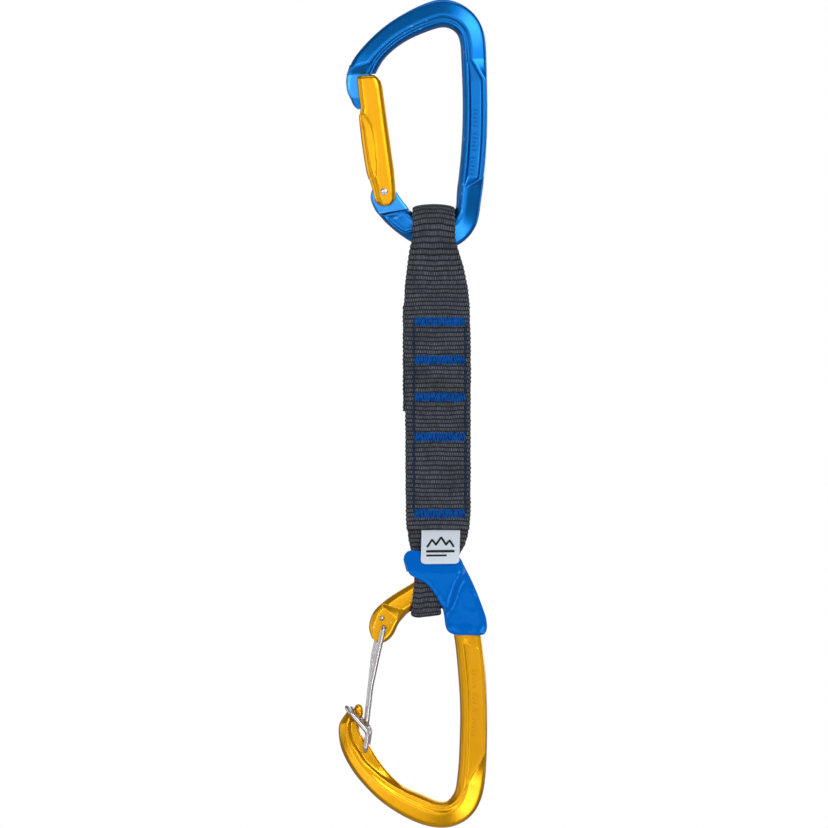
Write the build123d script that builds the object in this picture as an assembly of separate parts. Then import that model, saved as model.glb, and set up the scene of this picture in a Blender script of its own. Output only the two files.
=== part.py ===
from build123d import *
from math import cos, radians, sin
import os

# Climbing quickdraw: two forged carabiners joined by a sewn webbing sling, hanging at rest.
#
# Frame, in millimetres: +Z up, X across the carabiners, Y through their thickness, front at -Y.
# The origin is the hanging point, the highest point inside the upper carabiner, where it bears
# on a bolt hanger. Everything else hangs below it.

os.makedirs("parts", exist_ok=True)

# ---------------------------------------------------------------- driving dimensions
FRAME_HALF = 4.8          # half thickness of both forged frames
EYE_HALF = 3.2            # half thickness of the wire gate's hinge eye
POCKET_DEPTH = 1.3
THROUGH = 9.0             # half length of a cut that passes right through a frame
OVERLAP = 0.5             # how far a cut reaches into the one it joins
OUTER_ROUND = 2.4         # rounding along the frames' outer edges
INNER_ROUND = 2.2

# upper carabiner: solid gate, key-lock nose
RIVET = (-23.8, -65.8)    # gate pivot, X and Z
GATE_TILT = 7.6           # the gate leans towards the nose, degrees from vertical
GATE_LENGTH = 47.0        # pivot to the free end
GATE_RADIUS = 5.8
GATE_SHIFT = -0.5         # the round bar's centre, sideways from the pivot
GATE_HALF = 4.7           # flats on the gate's front and back
EAR_DROP = 5.6            # gate end below the pivot
TANG_HALF = 2.0           # thin hinge tang, and the nose's tongue
HEAD_HALF = 2.7           # wider head on the tongue, that the shut gate catches
SLOT_CLEAR = 0.15
SLOT_ROOF = 5.9           # hinge slot's roof above the pivot
NECK_SLOT = (33.4, 1.6)   # slot for the tongue: its foot above the pivot, and how far across it goes
HEAD_SLOT = (31.8, 40.0, 0.4)  # slot for the head: foot, roof, and how far across it goes
RIVET_RADIUS = 1.6
RUN_CLEAR = 0.05          # radial running clearance
CAM_OFFSET = 1.4          # plunger's contact, sideways from the pivot
CAM_REACH = 4.4           # pivot to plunger tip with the gate shut
GATE_OPEN = 30.0
BORE_RADIUS = 2.2
BORE_TOP = 27.0
PLUNGER_RADIUS = 2.1
PLUNGER_HEAD = 6.0        # plunger's guided length
TAIL_RADIUS = 0.9         # thin end inside the coil
TAIL_LENGTH = 6.0
SPRING_WIRE = 0.45
SPRING_RADIUS = 1.6
SPRING_TURNS = 9
SPRING_GAP = 0.05         # between the coil and what it bears on

# lower carabiner: wire gate, hooded nose, moulded keeper
WIRE_RADIUS = 1.1
HOOD_RADIUS = 1.0
HOOD_HALF = 5.4           # the hood's sides, from the middle
HOOD_FIT = 0.02           # radial gap where the hood enters the frame
FRONT_HOLE = (-23.8, -239.8)
BACK_HOLE = (-24.6, -236.2)
LEG_Y = 4.6               # wire legs beside the hinge eye
TOE_Y = 2.9               # wire legs beside the nose
WIRE_OPEN = 28.0
WIRE_SPARE = 1.0          # degrees that the hinge holes allow past fully open
HOLE_STEPS = 8            # round cuts that make up each slotted hinge hole
HOOK_HALF = 1.5           # thin hook that the wire gate catches on
KEEPER_HALF = 6.4         # over the spine
COLLAR_HALF = 9.0         # over the webbing
COLLAR_SIDE = [(-5.0, -209.0), (-COLLAR_HALF, -218.5), (-COLLAR_HALF, -250.0), (COLLAR_HALF, -250.0),
               (COLLAR_HALF, -218.5), (5.0, -209.0)]
FIT = 0.15                # gap between the frame and the keeper

# sling
WEB = 2.0                 # webbing thickness
WEB_CUT = 15.0            # half depth of a cut that passes right through the sling
WEB_REACH = 30.0          # half length of a side outline stretched along X
FLEX_GAP = 0.15           # half gap between lengths of webbing that move apart
SWING_AXIS = (-4.2, -81.2)  # centre of the bar that the upper loop swings on, X and Z
LOOP_INNER = 8.6          # inside radius of the upper loop
SEAM_TOP = -110.0         # the loop's legs have met here
SEAM_HALF = 0.2           # half gap between the legs where they meet
TWIST_Z = -113.8          # unsewn webbing twists about here
SEAM_END = -201.2         # end of the front layer
FLEX = (-2.3, -205.4)     # unsewn webbing bends about this line, X and Z
FLEX_NOSE = 2.0
LOWER_LOOP_TOP = -207.8
LOWER_LOOP_BOTTOM = -235.9
LOWER_LOOP_HALF = 7.2
LOWER_LOOP_MIDDLE = -7.3
LOWER_LOOP_TILT = 0.115   # rise along X
LOWER_LOOP_WIDTH = [(-14.2, -207.8), (9.0, -207.8), (5.6, -212.0), (1.0, -222.0), (-0.8, -228.0),
                    (-0.6, -240.0), (-13.8, -240.0), (-13.8, -228.0), (-13.4, -215.0)]
LOWER_LOOP_HOLE = [(0.3, -213.4), (-5.2, -217.6), (-5.2, -231.0), (-3.0, LOWER_LOOP_BOTTOM + WEB),
                   (3.0, LOWER_LOOP_BOTTOM + WEB), (5.2, -231.0), (5.2, -217.6)]  # Y and Z
LOOP_TOP_FOOT = TWIST_Z + FLEX_GAP
WEBBING_TOP = TWIST_Z - FLEX_GAP
UPPER_LOOP_WIDTH = [(-12.3, -70.0), (4.4, -70.0), (4.6, -85.0), (5.4, -87.4), (7.8, -95.0), (9.8, -105.0),
                    (10.4, LOOP_TOP_FOOT), (-15.8, LOOP_TOP_FOOT), (-15.4, -103.0), (-14.2, -93.0),
                    (-13.2, -86.6), (-12.6, -84.0)]
WEBBING_WIDTH = [(-15.8, WEBBING_TOP), (10.6, WEBBING_TOP), (10.9, -122.0), (10.9, -195.0), (9.8, -202.0),
                 (9.0, -209.0), (-14.2, -209.0), (-14.8, -190.0), (-14.8, -153.6), (-15.8, -153.4)]
TACK_LEVELS = (-117.4, -133.0, -147.8, -163.8, -194.4)  # middles
TACK_HEIGHT = 3.6
TACK_SPAN = (-11.6, 8.5)
LABEL_DROP = 14.2
LABEL_LEAN = 20.0
LABEL_TURN = 1.5          # hangs slightly askew, degrees
LABEL_THICKNESS = 0.5
THREAD = 0.5              # how far a bar tack stands out of the webbing
THREAD_GAP = 0.01
STITCH_PITCH = 2.6
STITCH_WIDTH = 0.6
STITCH_RAISE = 0.3
STITCH_OUT = 0.2          # rows of lock stitches, outside the bar tacks' ends
STITCH_END = 0.5          # gap between a row and the bar tack above or below
STITCH_SHARE = 0.8        # thread on the surface, as a share of the pitch

FRONT, BACK = -1, 1


# ---------------------------------------------------------------- small helpers
def at(x, z, y=0.0):
    """A point given by its place in the carabiner's plane."""
    return (x, y, z)


def band(outer, inner):
    """The face between two smooth curves that start and end side by side."""
    far = Spline(*[at(*p) for p in outer])
    near = Spline(*[at(*p) for p in inner])
    return Face(Wire([far, Line(far @ 1, near @ 1), near, Line(near @ 0, far @ 0)]))


def plate(face, half):
    """A face in the XZ plane thickened both ways along Y."""
    return Solid.extrude(face.moved(Location((0, -half, 0))), Vector(0, 2 * half, 0))


def outline(points, half):
    """A straight-sided plate from its corners in the XZ plane."""
    face = Face(Wire.make_polygon([at(x, z, -half) for x, z in points]))
    return Solid.extrude(face, Vector(0, 2 * half, 0))


def smooth_outline(points, half):
    """A plate whose edge is one smooth closed curve through the points."""
    face = Face(Wire(Spline(*[at(x, z, -half) for x, z in points], periodic=True)))
    return Solid.extrude(face, Vector(0, 2 * half, 0))


def bore(x, z, radius, low, high):
    """A cylinder along Y."""
    base = Plane(origin=(x, low, z), z_dir=(0, 1, 0))
    return Solid.make_cylinder(radius, high - low, base)


def tube(path, radius, coiled=False):
    """Round wire along a path."""
    start = Plane(origin=path @ 0, z_dir=path % 0)
    return Solid(sweep(start * Circle(radius), path=path, is_frenet=coiled).wrapped)


def one(shape):
    """The single solid of a boolean's result."""
    found = shape.solids()
    return max(found, key=lambda s: s.volume)


def round_long_edges(body):
    """Rounds a frame's two outer edges, then its two inner ones."""
    flat = [e for e in body.edges() if e.length > 60 and abs(e.tangent_at(0.3).Y) < 0.01]
    flat.sort(key=lambda e: e.length)
    inner_length = flat[0].length
    body = one(body.fillet(OUTER_ROUND, flat[2:]))
    inner = [e for e in body.edges()
             if abs(e.length - inner_length) < 0.5 and abs(e.center().Y) > FRAME_HALF - 0.01]
    return one(body.fillet(INNER_ROUND, inner))


def write(name, shape):
    export_step(shape, f"parts/{name}.step")


# ---------------------------------------------------------------- upper carabiner
UPPER_OUTER = [  # from the nose shoulder, over the top, down the spine, round to the hinge
    (-38.6, -19.0), (-36.2, -13.0), (-30.6, -5.8), (-22.6, 1.4), (-15.0, 6.2), (-7.4, 9.8),
    (0.2, 11.4), (7.8, 9.2), (13.4, 4.4), (16.2, -1.4), (17.4, -11.4), (17.8, -23.0),
    (17.8, -41.0), (16.2, -62.2), (15.0, -71.0), (13.4, -78.6), (9.0, -84.8), (2.6, -88.4),
    (-3.8, -89.0), (-11.4, -86.6), (-17.8, -82.6), (-23.6, -77.6), (-26.2, -74.6),
]
UPPER_INNER = [
    (-27.0, -18.4), (-24.6, -14.2), (-21.0, -10.0), (-15.4, -5.8), (-9.8, -3.0), (-4.6, -1.0),
    (0.0, 0.0), (3.4, -1.0), (5.6, -3.2), (6.6, -6.4), (7.0, -12.2), (7.4, -23.0),
    (7.4, -41.0), (5.9, -60.2), (5.2, -67.0), (4.9, -71.6), (3.8, -74.2), (1.8, -75.5),
    (-1.4, -76.0), (-5.4, -76.0), (-9.4, -75.4), (-12.2, -74.2), (-13.8, -72.4),
]
UPPER_POCKET_OUTER = [
    (15.0, -13.0), (15.2, -23.0), (15.2, -41.0), (13.6, -60.0),
]
UPPER_POCKET_INNER = [
    (10.1, -13.0), (10.2, -23.0), (10.2, -41.0), (8.7, -60.0),
]
TANG_OUTLINE = [
    (-28.8, -70.0), (-29.2, -67.6), (-28.4, -64.6), (-18.2, -66.2), (-13.8, -72.0),
    (-15.0, -77.0), (-23.0, -77.0), (-26.4, -74.4), (-28.0, -72.0),
]
TANG_SIDES = [(-40.0, -66.0), (10.0, -66.0), (10.0, -90.0), (-40.0, -90.0)]  # the cam makes what is above
TONGUE_OUTLINE = [
    (-38.6, -17.6), (-39.3, -22.6), (-38.0, -27.4), (-35.6, -31.0),
    (-32.0, -30.8), (-31.0, -26.0), (-30.4, -17.6), (-34.6, -15.6),
]
HEAD_OUTLINE = [(-37.9, -27.6), (-35.3, -32.2), (-34.4, -33.0), (-32.4, -31.4), (-32.0, -28.0)]
GATE_OUTLINE = [  # seen from the front, pivot at the origin, from the free end down the outer side
    (-3.8, GATE_LENGTH), (-4.8, 45.9), (-5.1, 38.0), (-5.0, 34.2), (-5.6, 32.4), (-6.1, 30.4),
    (-6.3, 20.0), (-6.2, 12.0), (-5.7, 7.0), (-4.8, 1.4), (-4.1, -3.6), (-1.8, -EAR_DROP),
    (1.8, -EAR_DROP), (4.3, -3.6), (4.9, 0.0), (5.3, 8.0), (5.1, 42.0), (3.7, 46.2), (2.4, GATE_LENGTH),
]


def gate_place(shape):
    """Moves a shape drawn with the pivot at the origin and the gate along +Z into place."""
    return shape.moved(Location((RIVET[0], 0, RIVET[1])) * Location((0, 0, 0), (0, -GATE_TILT, 0)))


def cam():
    """Tang end: an arc about a point beside the pivot lifts the plunger evenly as the gate turns."""
    middle = radians(GATE_OPEN / 2)
    centre = (CAM_OFFSET * cos(middle), -CAM_OFFSET * sin(middle))
    reach = CAM_REACH + CAM_OFFSET * middle - RUN_CLEAR
    disc = bore(centre[0], centre[1], reach, -TANG_HALF, TANG_HALF)
    return gate_place(disc)


def upper_frame():
    body = plate(band(UPPER_OUTER, UPPER_INNER), FRAME_HALF)
    body = round_long_edges(body)
    pocket = band(UPPER_POCKET_OUTER, UPPER_POCKET_INNER)
    for side in (FRONT, BACK):
        cut = plate(pocket, POCKET_DEPTH)
        body = one(body - cut.moved(Location((0, side * FRAME_HALF, 0))))
    tang = one((outline(TANG_OUTLINE, TANG_HALF) & outline(TANG_SIDES, THROUGH)) + cam())
    tongue = smooth_outline(TONGUE_OUTLINE, TANG_HALF)
    head = outline(HEAD_OUTLINE, HEAD_HALF)
    body = one(body + tang + tongue + head)
    return one(body - bore(*RIVET, RIVET_RADIUS + RUN_CLEAR, -THROUGH, THROUGH))


def gate_slot(foot, roof, far, half):
    """A slot in from the gate's outer side."""
    outer = -THROUGH
    return outline([(outer, foot), (far, foot), (far, roof), (outer, roof)], half + SLOT_CLEAR)


def gate():
    """Round bar with flats, forked over the tang and slotted for the nose's tongue and head."""
    foot = Plane((GATE_SHIFT, 0, -EAR_DROP))
    bar = Solid.make_cylinder(GATE_RADIUS, GATE_LENGTH + EAR_DROP, foot)
    body = one(bar & outline(GATE_OUTLINE, GATE_HALF))
    hinge_slot = gate_slot(-THROUGH, SLOT_ROOF, THROUGH, TANG_HALF)
    neck_slot = gate_slot(NECK_SLOT[0], GATE_LENGTH + THROUGH, NECK_SLOT[1], TANG_HALF)
    head_slot = gate_slot(*HEAD_SLOT, HEAD_HALF)
    bore_foot = SLOT_ROOF - OVERLAP
    spring_bore = Solid.make_cylinder(BORE_RADIUS, BORE_TOP - bore_foot, Plane((0, 0, bore_foot)))
    body = one(body - hinge_slot - neck_slot - head_slot - spring_bore)
    body = one(body - bore(0, 0, RIVET_RADIUS, -THROUGH, THROUGH))
    return gate_place(body)


def gate_rivet():
    shank = bore(0, 0, RIVET_RADIUS, -GATE_HALF, GATE_HALF)
    return gate_place(shank)


def gate_plunger():
    """Pin that the spring presses on the tang: guided head, thin tail inside the coil."""
    head = Solid.make_cylinder(PLUNGER_RADIUS, PLUNGER_HEAD, Plane((0, 0, CAM_REACH)))
    tail = Solid.make_cylinder(TAIL_RADIUS, TAIL_LENGTH, Plane((0, 0, CAM_REACH + PLUNGER_HEAD)))
    return gate_place(one(head + tail))


def gate_spring():
    low = CAM_REACH + PLUNGER_HEAD + SPRING_WIRE + SPRING_GAP
    height = BORE_TOP - SPRING_WIRE - SPRING_GAP - low
    path = Helix(height / SPRING_TURNS, height, SPRING_RADIUS, center=(0, 0, low))
    return gate_place(tube(path, SPRING_WIRE, coiled=True))


# ---------------------------------------------------------------- lower carabiner
LOWER_OUTER = [  # from the nose, round the rope basket, up the spine, over to the hinge eye
    (-38.6, -273.6), (-41.6, -278.4), (-41.9, -282.8), (-41.0, -288.0), (-38.8, -293.2),
    (-35.4, -298.6), (-31.4, -303.4), (-26.6, -308.2), (-20.2, -313.0), (-13.4, -316.8),
    (-5.4, -319.6), (1.4, -320.0), (7.8, -317.8), (12.6, -313.4), (15.4, -307.4),
    (16.8, -299.0), (17.4, -287.0), (17.4, -271.0), (16.8, -257.0), (15.8, -247.0),
    (14.6, -238.4), (12.8, -230.2), (9.8, -223.4), (5.4, -219.0), (-0.6, -217.2),
    (-6.6, -218.4), (-12.4, -221.8), (-17.0, -224.6), (-21.6, -227.6), (-24.8, -230.4),
]
LOWER_INNER = [
    (-33.0, -274.2), (-33.8, -277.4), (-33.6, -280.8), (-32.0, -284.0), (-29.8, -286.6),
    (-27.2, -290.6), (-24.2, -295.0), (-20.6, -299.2), (-15.6, -303.4), (-9.8, -306.0),
    (-4.2, -308.4), (-0.4, -309.4), (2.6, -308.2), (4.6, -305.0), (5.3, -301.5),
    (5.9, -296.0), (6.4, -286.0), (6.6, -271.5), (5.8, -258.0), (4.8, -247.6),
    (3.6, -240.4), (1.6, -234.8), (-1.0, -232.2), (-3.4, -231.2), (-5.2, -231.1),
    (-8.0, -231.4), (-11.0, -232.4), (-14.2, -234.2), (-16.0, -236.0), (-18.0, -238.2),
]
LOWER_POCKET_OUTER = [(15.6, -251.0), (16.0, -261.0), (16.2, -276.0), (15.8, -289.0)]
LOWER_POCKET_INNER = [(9.2, -251.0), (9.6, -261.0), (9.8, -276.0), (9.6, -289.0)]
EYE_OUTLINE = [
    (-24.8, -230.2), (-28.0, -233.6), (-29.6, -237.6), (-29.8, -240.6), (-28.8, -244.2),
    (-26.2, -246.2), (-22.6, -245.6), (-20.0, -243.2), (-18.0, -239.4), (-18.6, -234.0),
]
HOOK_OUTLINE = [
    (-38.0, -273.0), (-35.6, -270.9), (-33.6, -270.7), (-31.6, -272.2), (-30.8, -275.6),
    (-33.4, -276.2), (-36.0, -277.0),
]
SHEATH_OUTLINE = [
    (7.4, -213.4), (10.6, -219.6), (13.8, -226.8), (15.9, -232.4), (17.4, -238.6),
    (16.6, -242.2), (10.4, -243.0), (5.0, -242.9), (1.8, -241.4), (0.4, -236.6),
    (-0.8, -231.6), (-3.4, -227.0), (-3.0, -220.0), (2.0, -214.0),
]
COLLAR_OUTLINE = [
    (-15.8, -211.2), (-14.8, -209.7), (-8.0, -209.6), (0.0, -210.2), (6.6, -212.0),
    (8.2, -216.4), (5.0, -224.0), (0.6, -232.8), (-1.4, -231.0), (-4.4, -226.0),
    (-9.0, -221.6), (-14.4, -218.4), (-15.3, -215.6),
]
CORNER_ROOM = [  # room for the frame's top corner inside the keeper
    (16.2, -251.0), (15.2, -240.0), (12.8, -229.4), (9.6, -222.6), (5.0, -218.2),
    (-3.0, -217.0), (-14.0, -221.0), (-12.0, -232.4), (-3.0, -231.0),
    (1.8, -235.0), (3.6, -241.0), (4.2, -251.0),
]
WEBBING_CHANNEL = [  # room for the webbing's lower end inside the keeper
    (-14.6, -200.0), (9.1, -200.0), (9.1, -207.8), (5.8, -212.0), (1.2, -222.0),
    (-0.6, -228.0), (-0.4, -241.0), (-14.6, -241.0),
]


def wire_legs():
    """Centreline points of the wire gate, from the front leg's inner tip to the back leg's."""
    tip = EYE_HALF - RUN_CLEAR
    return [
        at(*FRONT_HOLE, tip), at(*FRONT_HOLE, -LEG_Y), at(-26.0, -249.0, -4.3), at(-29.1, -263.4, -3.4),
        at(-30.9, -279.0, -TOE_Y), at(-30.9, -279.0, TOE_Y), at(-29.2, -263.4, 3.4),
        at(-27.9, -251.0, 4.3), at(*BACK_HOLE, LEG_Y), at(*BACK_HOLE, -tip),
    ]


def wire_gate():
    path = FilletPolyline(*wire_legs(), radius=[1.7, 20, 30, 2.6, 2.6, 30, 20, 1.7])
    return tube(path, WIRE_RADIUS)


def hood_path(reach):
    """Fixed wire: out of one side of the frame, round the outside of the nose, back into the other."""
    half = [at(-31.0, -288.6, reach), at(-31.0, -288.6, HOOD_HALF), at(-29.9, -281.4, HOOD_HALF),
            at(-38.4, -271.8, HOOD_HALF)]
    other = [(x, -y, z) for x, y, z in reversed(half)]
    return FilletPolyline(*half, *other, radius=[1.5, 2.5, 4.4, 4.4, 2.5, 1.5])


def nose_hood(radius=HOOD_RADIUS):
    return tube(hood_path(2.4), radius)


def hinge_slots():
    """Holes for the gate's two inturned ends, long enough for the gate to turn about the line midway."""
    middle = ((FRONT_HOLE[0] + BACK_HOLE[0]) / 2, (FRONT_HOLE[1] + BACK_HOLE[1]) / 2)
    cut = None
    for hole in (FRONT_HOLE, BACK_HOLE):
        for step in range(HOLE_STEPS):
            turn = -radians(WIRE_OPEN + WIRE_SPARE) * step / (HOLE_STEPS - 1)
            dx, dz = hole[0] - middle[0], hole[1] - middle[1]
            x = middle[0] + dx * cos(turn) + dz * sin(turn)
            z = middle[1] - dx * sin(turn) + dz * cos(turn)
            pin = bore(x, z, WIRE_RADIUS + RUN_CLEAR, -THROUGH, THROUGH)
            cut = pin if cut is None else cut + pin
    return cut


def lower_frame():
    body = plate(band(LOWER_OUTER, LOWER_INNER), FRAME_HALF)
    body = round_long_edges(body)
    pocket = band(LOWER_POCKET_OUTER, LOWER_POCKET_INNER)
    for side in (FRONT, BACK):
        cut = plate(pocket, POCKET_DEPTH)
        body = one(body - cut.moved(Location((0, side * FRAME_HALF, 0))))
    eye = smooth_outline(EYE_OUTLINE, EYE_HALF)
    body = one(body + eye + outline(HOOK_OUTLINE, HOOK_HALF))
    return one(body - nose_hood(HOOD_RADIUS + HOOD_FIT) - hinge_slots())


def keeper():
    """Soft moulding: a sheath over the spine's top corner and a collar round the webbing."""
    sheath = smooth_outline(SHEATH_OUTLINE, KEEPER_HALF)
    collar = smooth_outline(COLLAR_OUTLINE, COLLAR_HALF)
    collar = collar & across(Face(Wire.make_polygon([(0, y, z) for y, z in COLLAR_SIDE])))
    room = plate(band(LOWER_OUTER[15:], LOWER_INNER[15:]), FRAME_HALF + FIT)
    room = room + smooth_outline(CORNER_ROOM, FRAME_HALF + FIT)
    channel = outline(WEBBING_CHANNEL, WEB_CUT) & across_tilted(lower_loop_side(FIT))
    return one(one(sheath + collar) - room - channel)


# ---------------------------------------------------------------- sling
def drop_profile(centre_z, radius, end_z, end_half):
    """Side outline of a loop of webbing: round over the bar, straight down to where its legs meet."""
    run = centre_z - end_z
    slope = (radius - end_half) / run
    touch_y = radius * cos(slope)
    touch_z = centre_z - radius * sin(slope)
    over = ThreePointArc((0, touch_y, touch_z), (0, 0, centre_z + radius), (0, -touch_y, touch_z))
    left = Line(over @ 1, (0, -end_half, end_z))
    base = Line(left @ 1, (0, end_half, end_z))
    return Face(Wire([over, left, base, Line(base @ 1, over @ 0)]))


def across(face):
    """Side outline stretched along X."""
    return Solid.extrude(face.moved(Location((-WEB_REACH, 0, 0))), Vector(2 * WEB_REACH, 0, 0))


def slab(low_z, high_z, near_y, far_y):
    """A layer of webbing, before it is cut to width."""
    corner = Plane((-WEB_REACH, near_y, low_z))
    return Solid.make_box(2 * WEB_REACH, far_y - near_y, high_z - low_z, corner)


def loop_top():
    """Upper loop: round the bar, its legs meeting above the first bar tack."""
    axis_z = SWING_AXIS[1]
    shell = across(drop_profile(axis_z, LOOP_INNER + WEB, LOOP_TOP_FOOT, 1.5 * WEB))
    hole = across(drop_profile(axis_z, LOOP_INNER, SEAM_TOP, SEAM_HALF))
    return one((shell - hole) & outline(UPPER_LOOP_WIDTH, WEB_CUT))


def webbing():
    """Sewn middle of the sling, three layers, ending in a round nose that the lower end bends about."""
    front = slab(SEAM_END, WEBBING_TOP, -1.5 * WEB, -0.5 * WEB)
    inner = slab(FLEX[1], WEBBING_TOP, -0.5 * WEB, 1.5 * WEB)
    start = Plane((-WEB_REACH, 0.5 * WEB, FLEX[1]), z_dir=(1, 0, 0))
    nose = Solid.make_cylinder(FLEX_NOSE, 2 * WEB_REACH, start)
    return one((front + inner + nose) & outline(WEBBING_WIDTH, WEB_CUT))


def lower_loop_side(grow=0.0):
    """Side outline of the webbing's lower end, filled, as (Y, Z) corners."""
    middle = 0.5 * WEB
    wide = LOWER_LOOP_HALF + grow
    top_half = FLEX_NOSE + grow
    corners = [(middle - top_half, FLEX[1] + 8), (middle - top_half, LOWER_LOOP_TOP), (-wide, -217.6),
               (-wide, -230.0), (-0.6 * wide, LOWER_LOOP_BOTTOM + 0.8), (0, LOWER_LOOP_BOTTOM - grow),
               (0.6 * wide, LOWER_LOOP_BOTTOM + 0.8), (wide, -230.0), (wide, -217.6),
               (middle + top_half, LOWER_LOOP_TOP), (middle + top_half, FLEX[1] + 8)]
    return Face(Wire.make_polygon([(0, y, z) for y, z in corners]))


def across_tilted(face):
    """As across, with the extrusion tilted the way the webbing sits on the sloping bar."""
    rise = LOWER_LOOP_TILT * WEB_REACH
    shift = (LOWER_LOOP_MIDDLE - WEB_REACH, 0, -rise)
    return Solid.extrude(face.moved(Location(shift)), Vector(2 * WEB_REACH, 0, 2 * rise))


def loop_bottom():
    """Lower end of the sling, through the keeper's collar and round the lower carabiner's bar."""
    hole = Face(Wire.make_polygon([(0, y, z) for y, z in LOWER_LOOP_HOLE]))
    ring = across_tilted(lower_loop_side()) - across_tilted(hole)
    return one(ring & outline(LOWER_LOOP_WIDTH, WEB_CUT))


def bar_tack(level):
    """Dense zigzag stitching through all layers: a raised block of thread on each face."""
    low, high = TACK_SPAN
    blocks = []
    for side in (FRONT, BACK):
        near = side * (1.5 * WEB + THREAD_GAP)
        face = sorted((near, near + side * THREAD))
        corner = (low, face[0], level - TACK_HEIGHT / 2)
        blocks.append(Solid.make_box(high - low, THREAD, TACK_HEIGHT, Plane(corner)))
    return Compound(blocks)


def edge_stitch(x):
    """A row of lock stitches beside one edge of the sewn part, on the front and the back."""
    stitches = []
    reach = TACK_HEIGHT / 2 + STITCH_END
    for upper, lower in zip(TACK_LEVELS, TACK_LEVELS[1:]):
        run = upper - lower - 2 * reach
        count = round(run / STITCH_PITCH)
        length = STITCH_SHARE * run / count
        for step in range(count):
            low = lower + reach + run * step / count + (run / count - length) / 2
            for side in (FRONT, BACK):
                near = side * (1.5 * WEB + THREAD_GAP)
                start = min(near, near + side * STITCH_RAISE)
                corner = (x - STITCH_WIDTH / 2, start, low)
                stitches.append(Solid.make_box(STITCH_WIDTH, STITCH_RAISE, length, Plane(corner)))
    return Compound(stitches)


def label():
    """Woven tag hanging from under the front layer's end, in front of the keeper."""
    corner = 1.8
    face = Face(Wire.make_polygon([at(-7.6, 0), at(7.8, 0), at(7.8, corner - LABEL_DROP), at(6.0, -LABEL_DROP),
                                   at(-6.0, -LABEL_DROP), at(-7.6, corner - LABEL_DROP)]))
    tag = Solid.extrude(face, Vector(0, LABEL_THICKNESS, 0))
    fold = Location((-1.4, -1.5 * WEB - 0.15, SEAM_END - 0.1))
    lean = Location((0, 0, 0), (-LABEL_LEAN, 0, 0))
    turn = Location((0, 0, 0), (0, -LABEL_TURN, 0))
    return tag.moved(fold * lean * turn)


# ---------------------------------------------------------------- everything, by name
def main():
    write("upper_frame", upper_frame())
    write("upper_gate", gate())
    write("gate_rivet", gate_rivet())
    write("gate_plunger", gate_plunger())
    write("gate_spring", gate_spring())
    write("sling_top_loop", loop_top())
    write("sling_webbing", webbing())
    write("sling_bottom_loop", loop_bottom())
    for number, level in enumerate(TACK_LEVELS, 1):
        write(f"bar_tack_{number}", bar_tack(level))
    write("edge_stitch_left", edge_stitch(TACK_SPAN[0] - STITCH_OUT))
    write("edge_stitch_right", edge_stitch(TACK_SPAN[1] + STITCH_OUT))
    write("woven_label", label())
    write("lower_frame", lower_frame())
    write("wire_gate", wire_gate())
    write("nose_hood", nose_hood())
    write("keeper", keeper())


main()
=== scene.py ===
import math
import bpy
import numpy as np
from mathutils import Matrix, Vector


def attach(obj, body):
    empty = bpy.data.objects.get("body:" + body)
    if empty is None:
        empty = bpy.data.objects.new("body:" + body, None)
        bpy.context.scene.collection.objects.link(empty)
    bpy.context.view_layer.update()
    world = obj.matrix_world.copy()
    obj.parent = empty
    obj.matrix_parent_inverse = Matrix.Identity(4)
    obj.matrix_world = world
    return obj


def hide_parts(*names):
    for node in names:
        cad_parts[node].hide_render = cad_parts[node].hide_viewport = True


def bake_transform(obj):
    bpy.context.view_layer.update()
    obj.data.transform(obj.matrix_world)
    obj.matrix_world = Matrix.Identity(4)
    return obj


# Climbing quickdraw, the looks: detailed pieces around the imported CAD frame.
#
# Shapes are in millimetres, in the CAD's own frame, and become metres in mesh_object. The front
# is at -Y, X runs from the gates to the spines, and the origin is the hanging point.

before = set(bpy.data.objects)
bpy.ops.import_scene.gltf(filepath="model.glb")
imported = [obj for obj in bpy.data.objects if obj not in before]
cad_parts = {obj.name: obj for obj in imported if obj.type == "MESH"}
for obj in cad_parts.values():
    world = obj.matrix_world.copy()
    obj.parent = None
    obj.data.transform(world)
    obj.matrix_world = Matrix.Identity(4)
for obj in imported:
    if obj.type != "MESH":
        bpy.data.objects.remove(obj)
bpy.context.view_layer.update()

MM = 0.001
FRONT, BACK = -1, 1
rng = np.random.default_rng(17)


# ==== mesh helpers
SHARP = 40  # degrees: a steeper edge is shaded sharp
CUT_SHARP = 32  # the same on a piece that has been cut
ROUND_SHARP = 60  # and on wires and turned pieces
THREAD_SHARP = 80


def ring_solid(rings, uv=None):
    """A closed solid skinned over a stack of rings (rows, columns, xyz), flat at both ends."""
    rows, columns = rings.shape[:2]
    index = np.arange(rows * columns).reshape(rows, columns)
    near, far = index[:-1], index[1:]
    quads = np.stack([near, np.roll(near, -1, 1), np.roll(far, -1, 1), far], -1).reshape(-1, 4)
    points = rings.reshape(-1, 3)
    a, b, c, d = (points[quads[:, k]] - points.mean(0) for k in range(4))
    volume = (np.cross(b, c) * a).sum() + (np.cross(c, d) * a).sum()
    faces = quads.tolist() + [index[0][::-1].tolist(), index[-1].tolist()]
    if volume < 0:
        faces = [face[::-1] for face in faces]
    uv = np.zeros((len(points), 2)) if uv is None else uv.reshape(-1, 2)
    return points, faces, uv


def shell(front, back, uv):
    """A closed sheet between two faces that share their side edges, with one pattern on both."""
    rings = np.concatenate([front, back[:, -2:0:-1]], 1)
    return ring_solid(rings, np.concatenate([uv, uv[:, -2:0:-1]], 1))


def joined(solids):
    """Several solids as one."""
    points, faces, uvs, start = [], [], [], 0
    for solid_points, solid_faces, solid_uv in solids:
        points.append(solid_points)
        uvs.append(solid_uv)
        faces += [[i + start for i in face] for face in solid_faces]
        start += len(solid_points)
    return np.concatenate(points), faces, np.concatenate(uvs)


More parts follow.
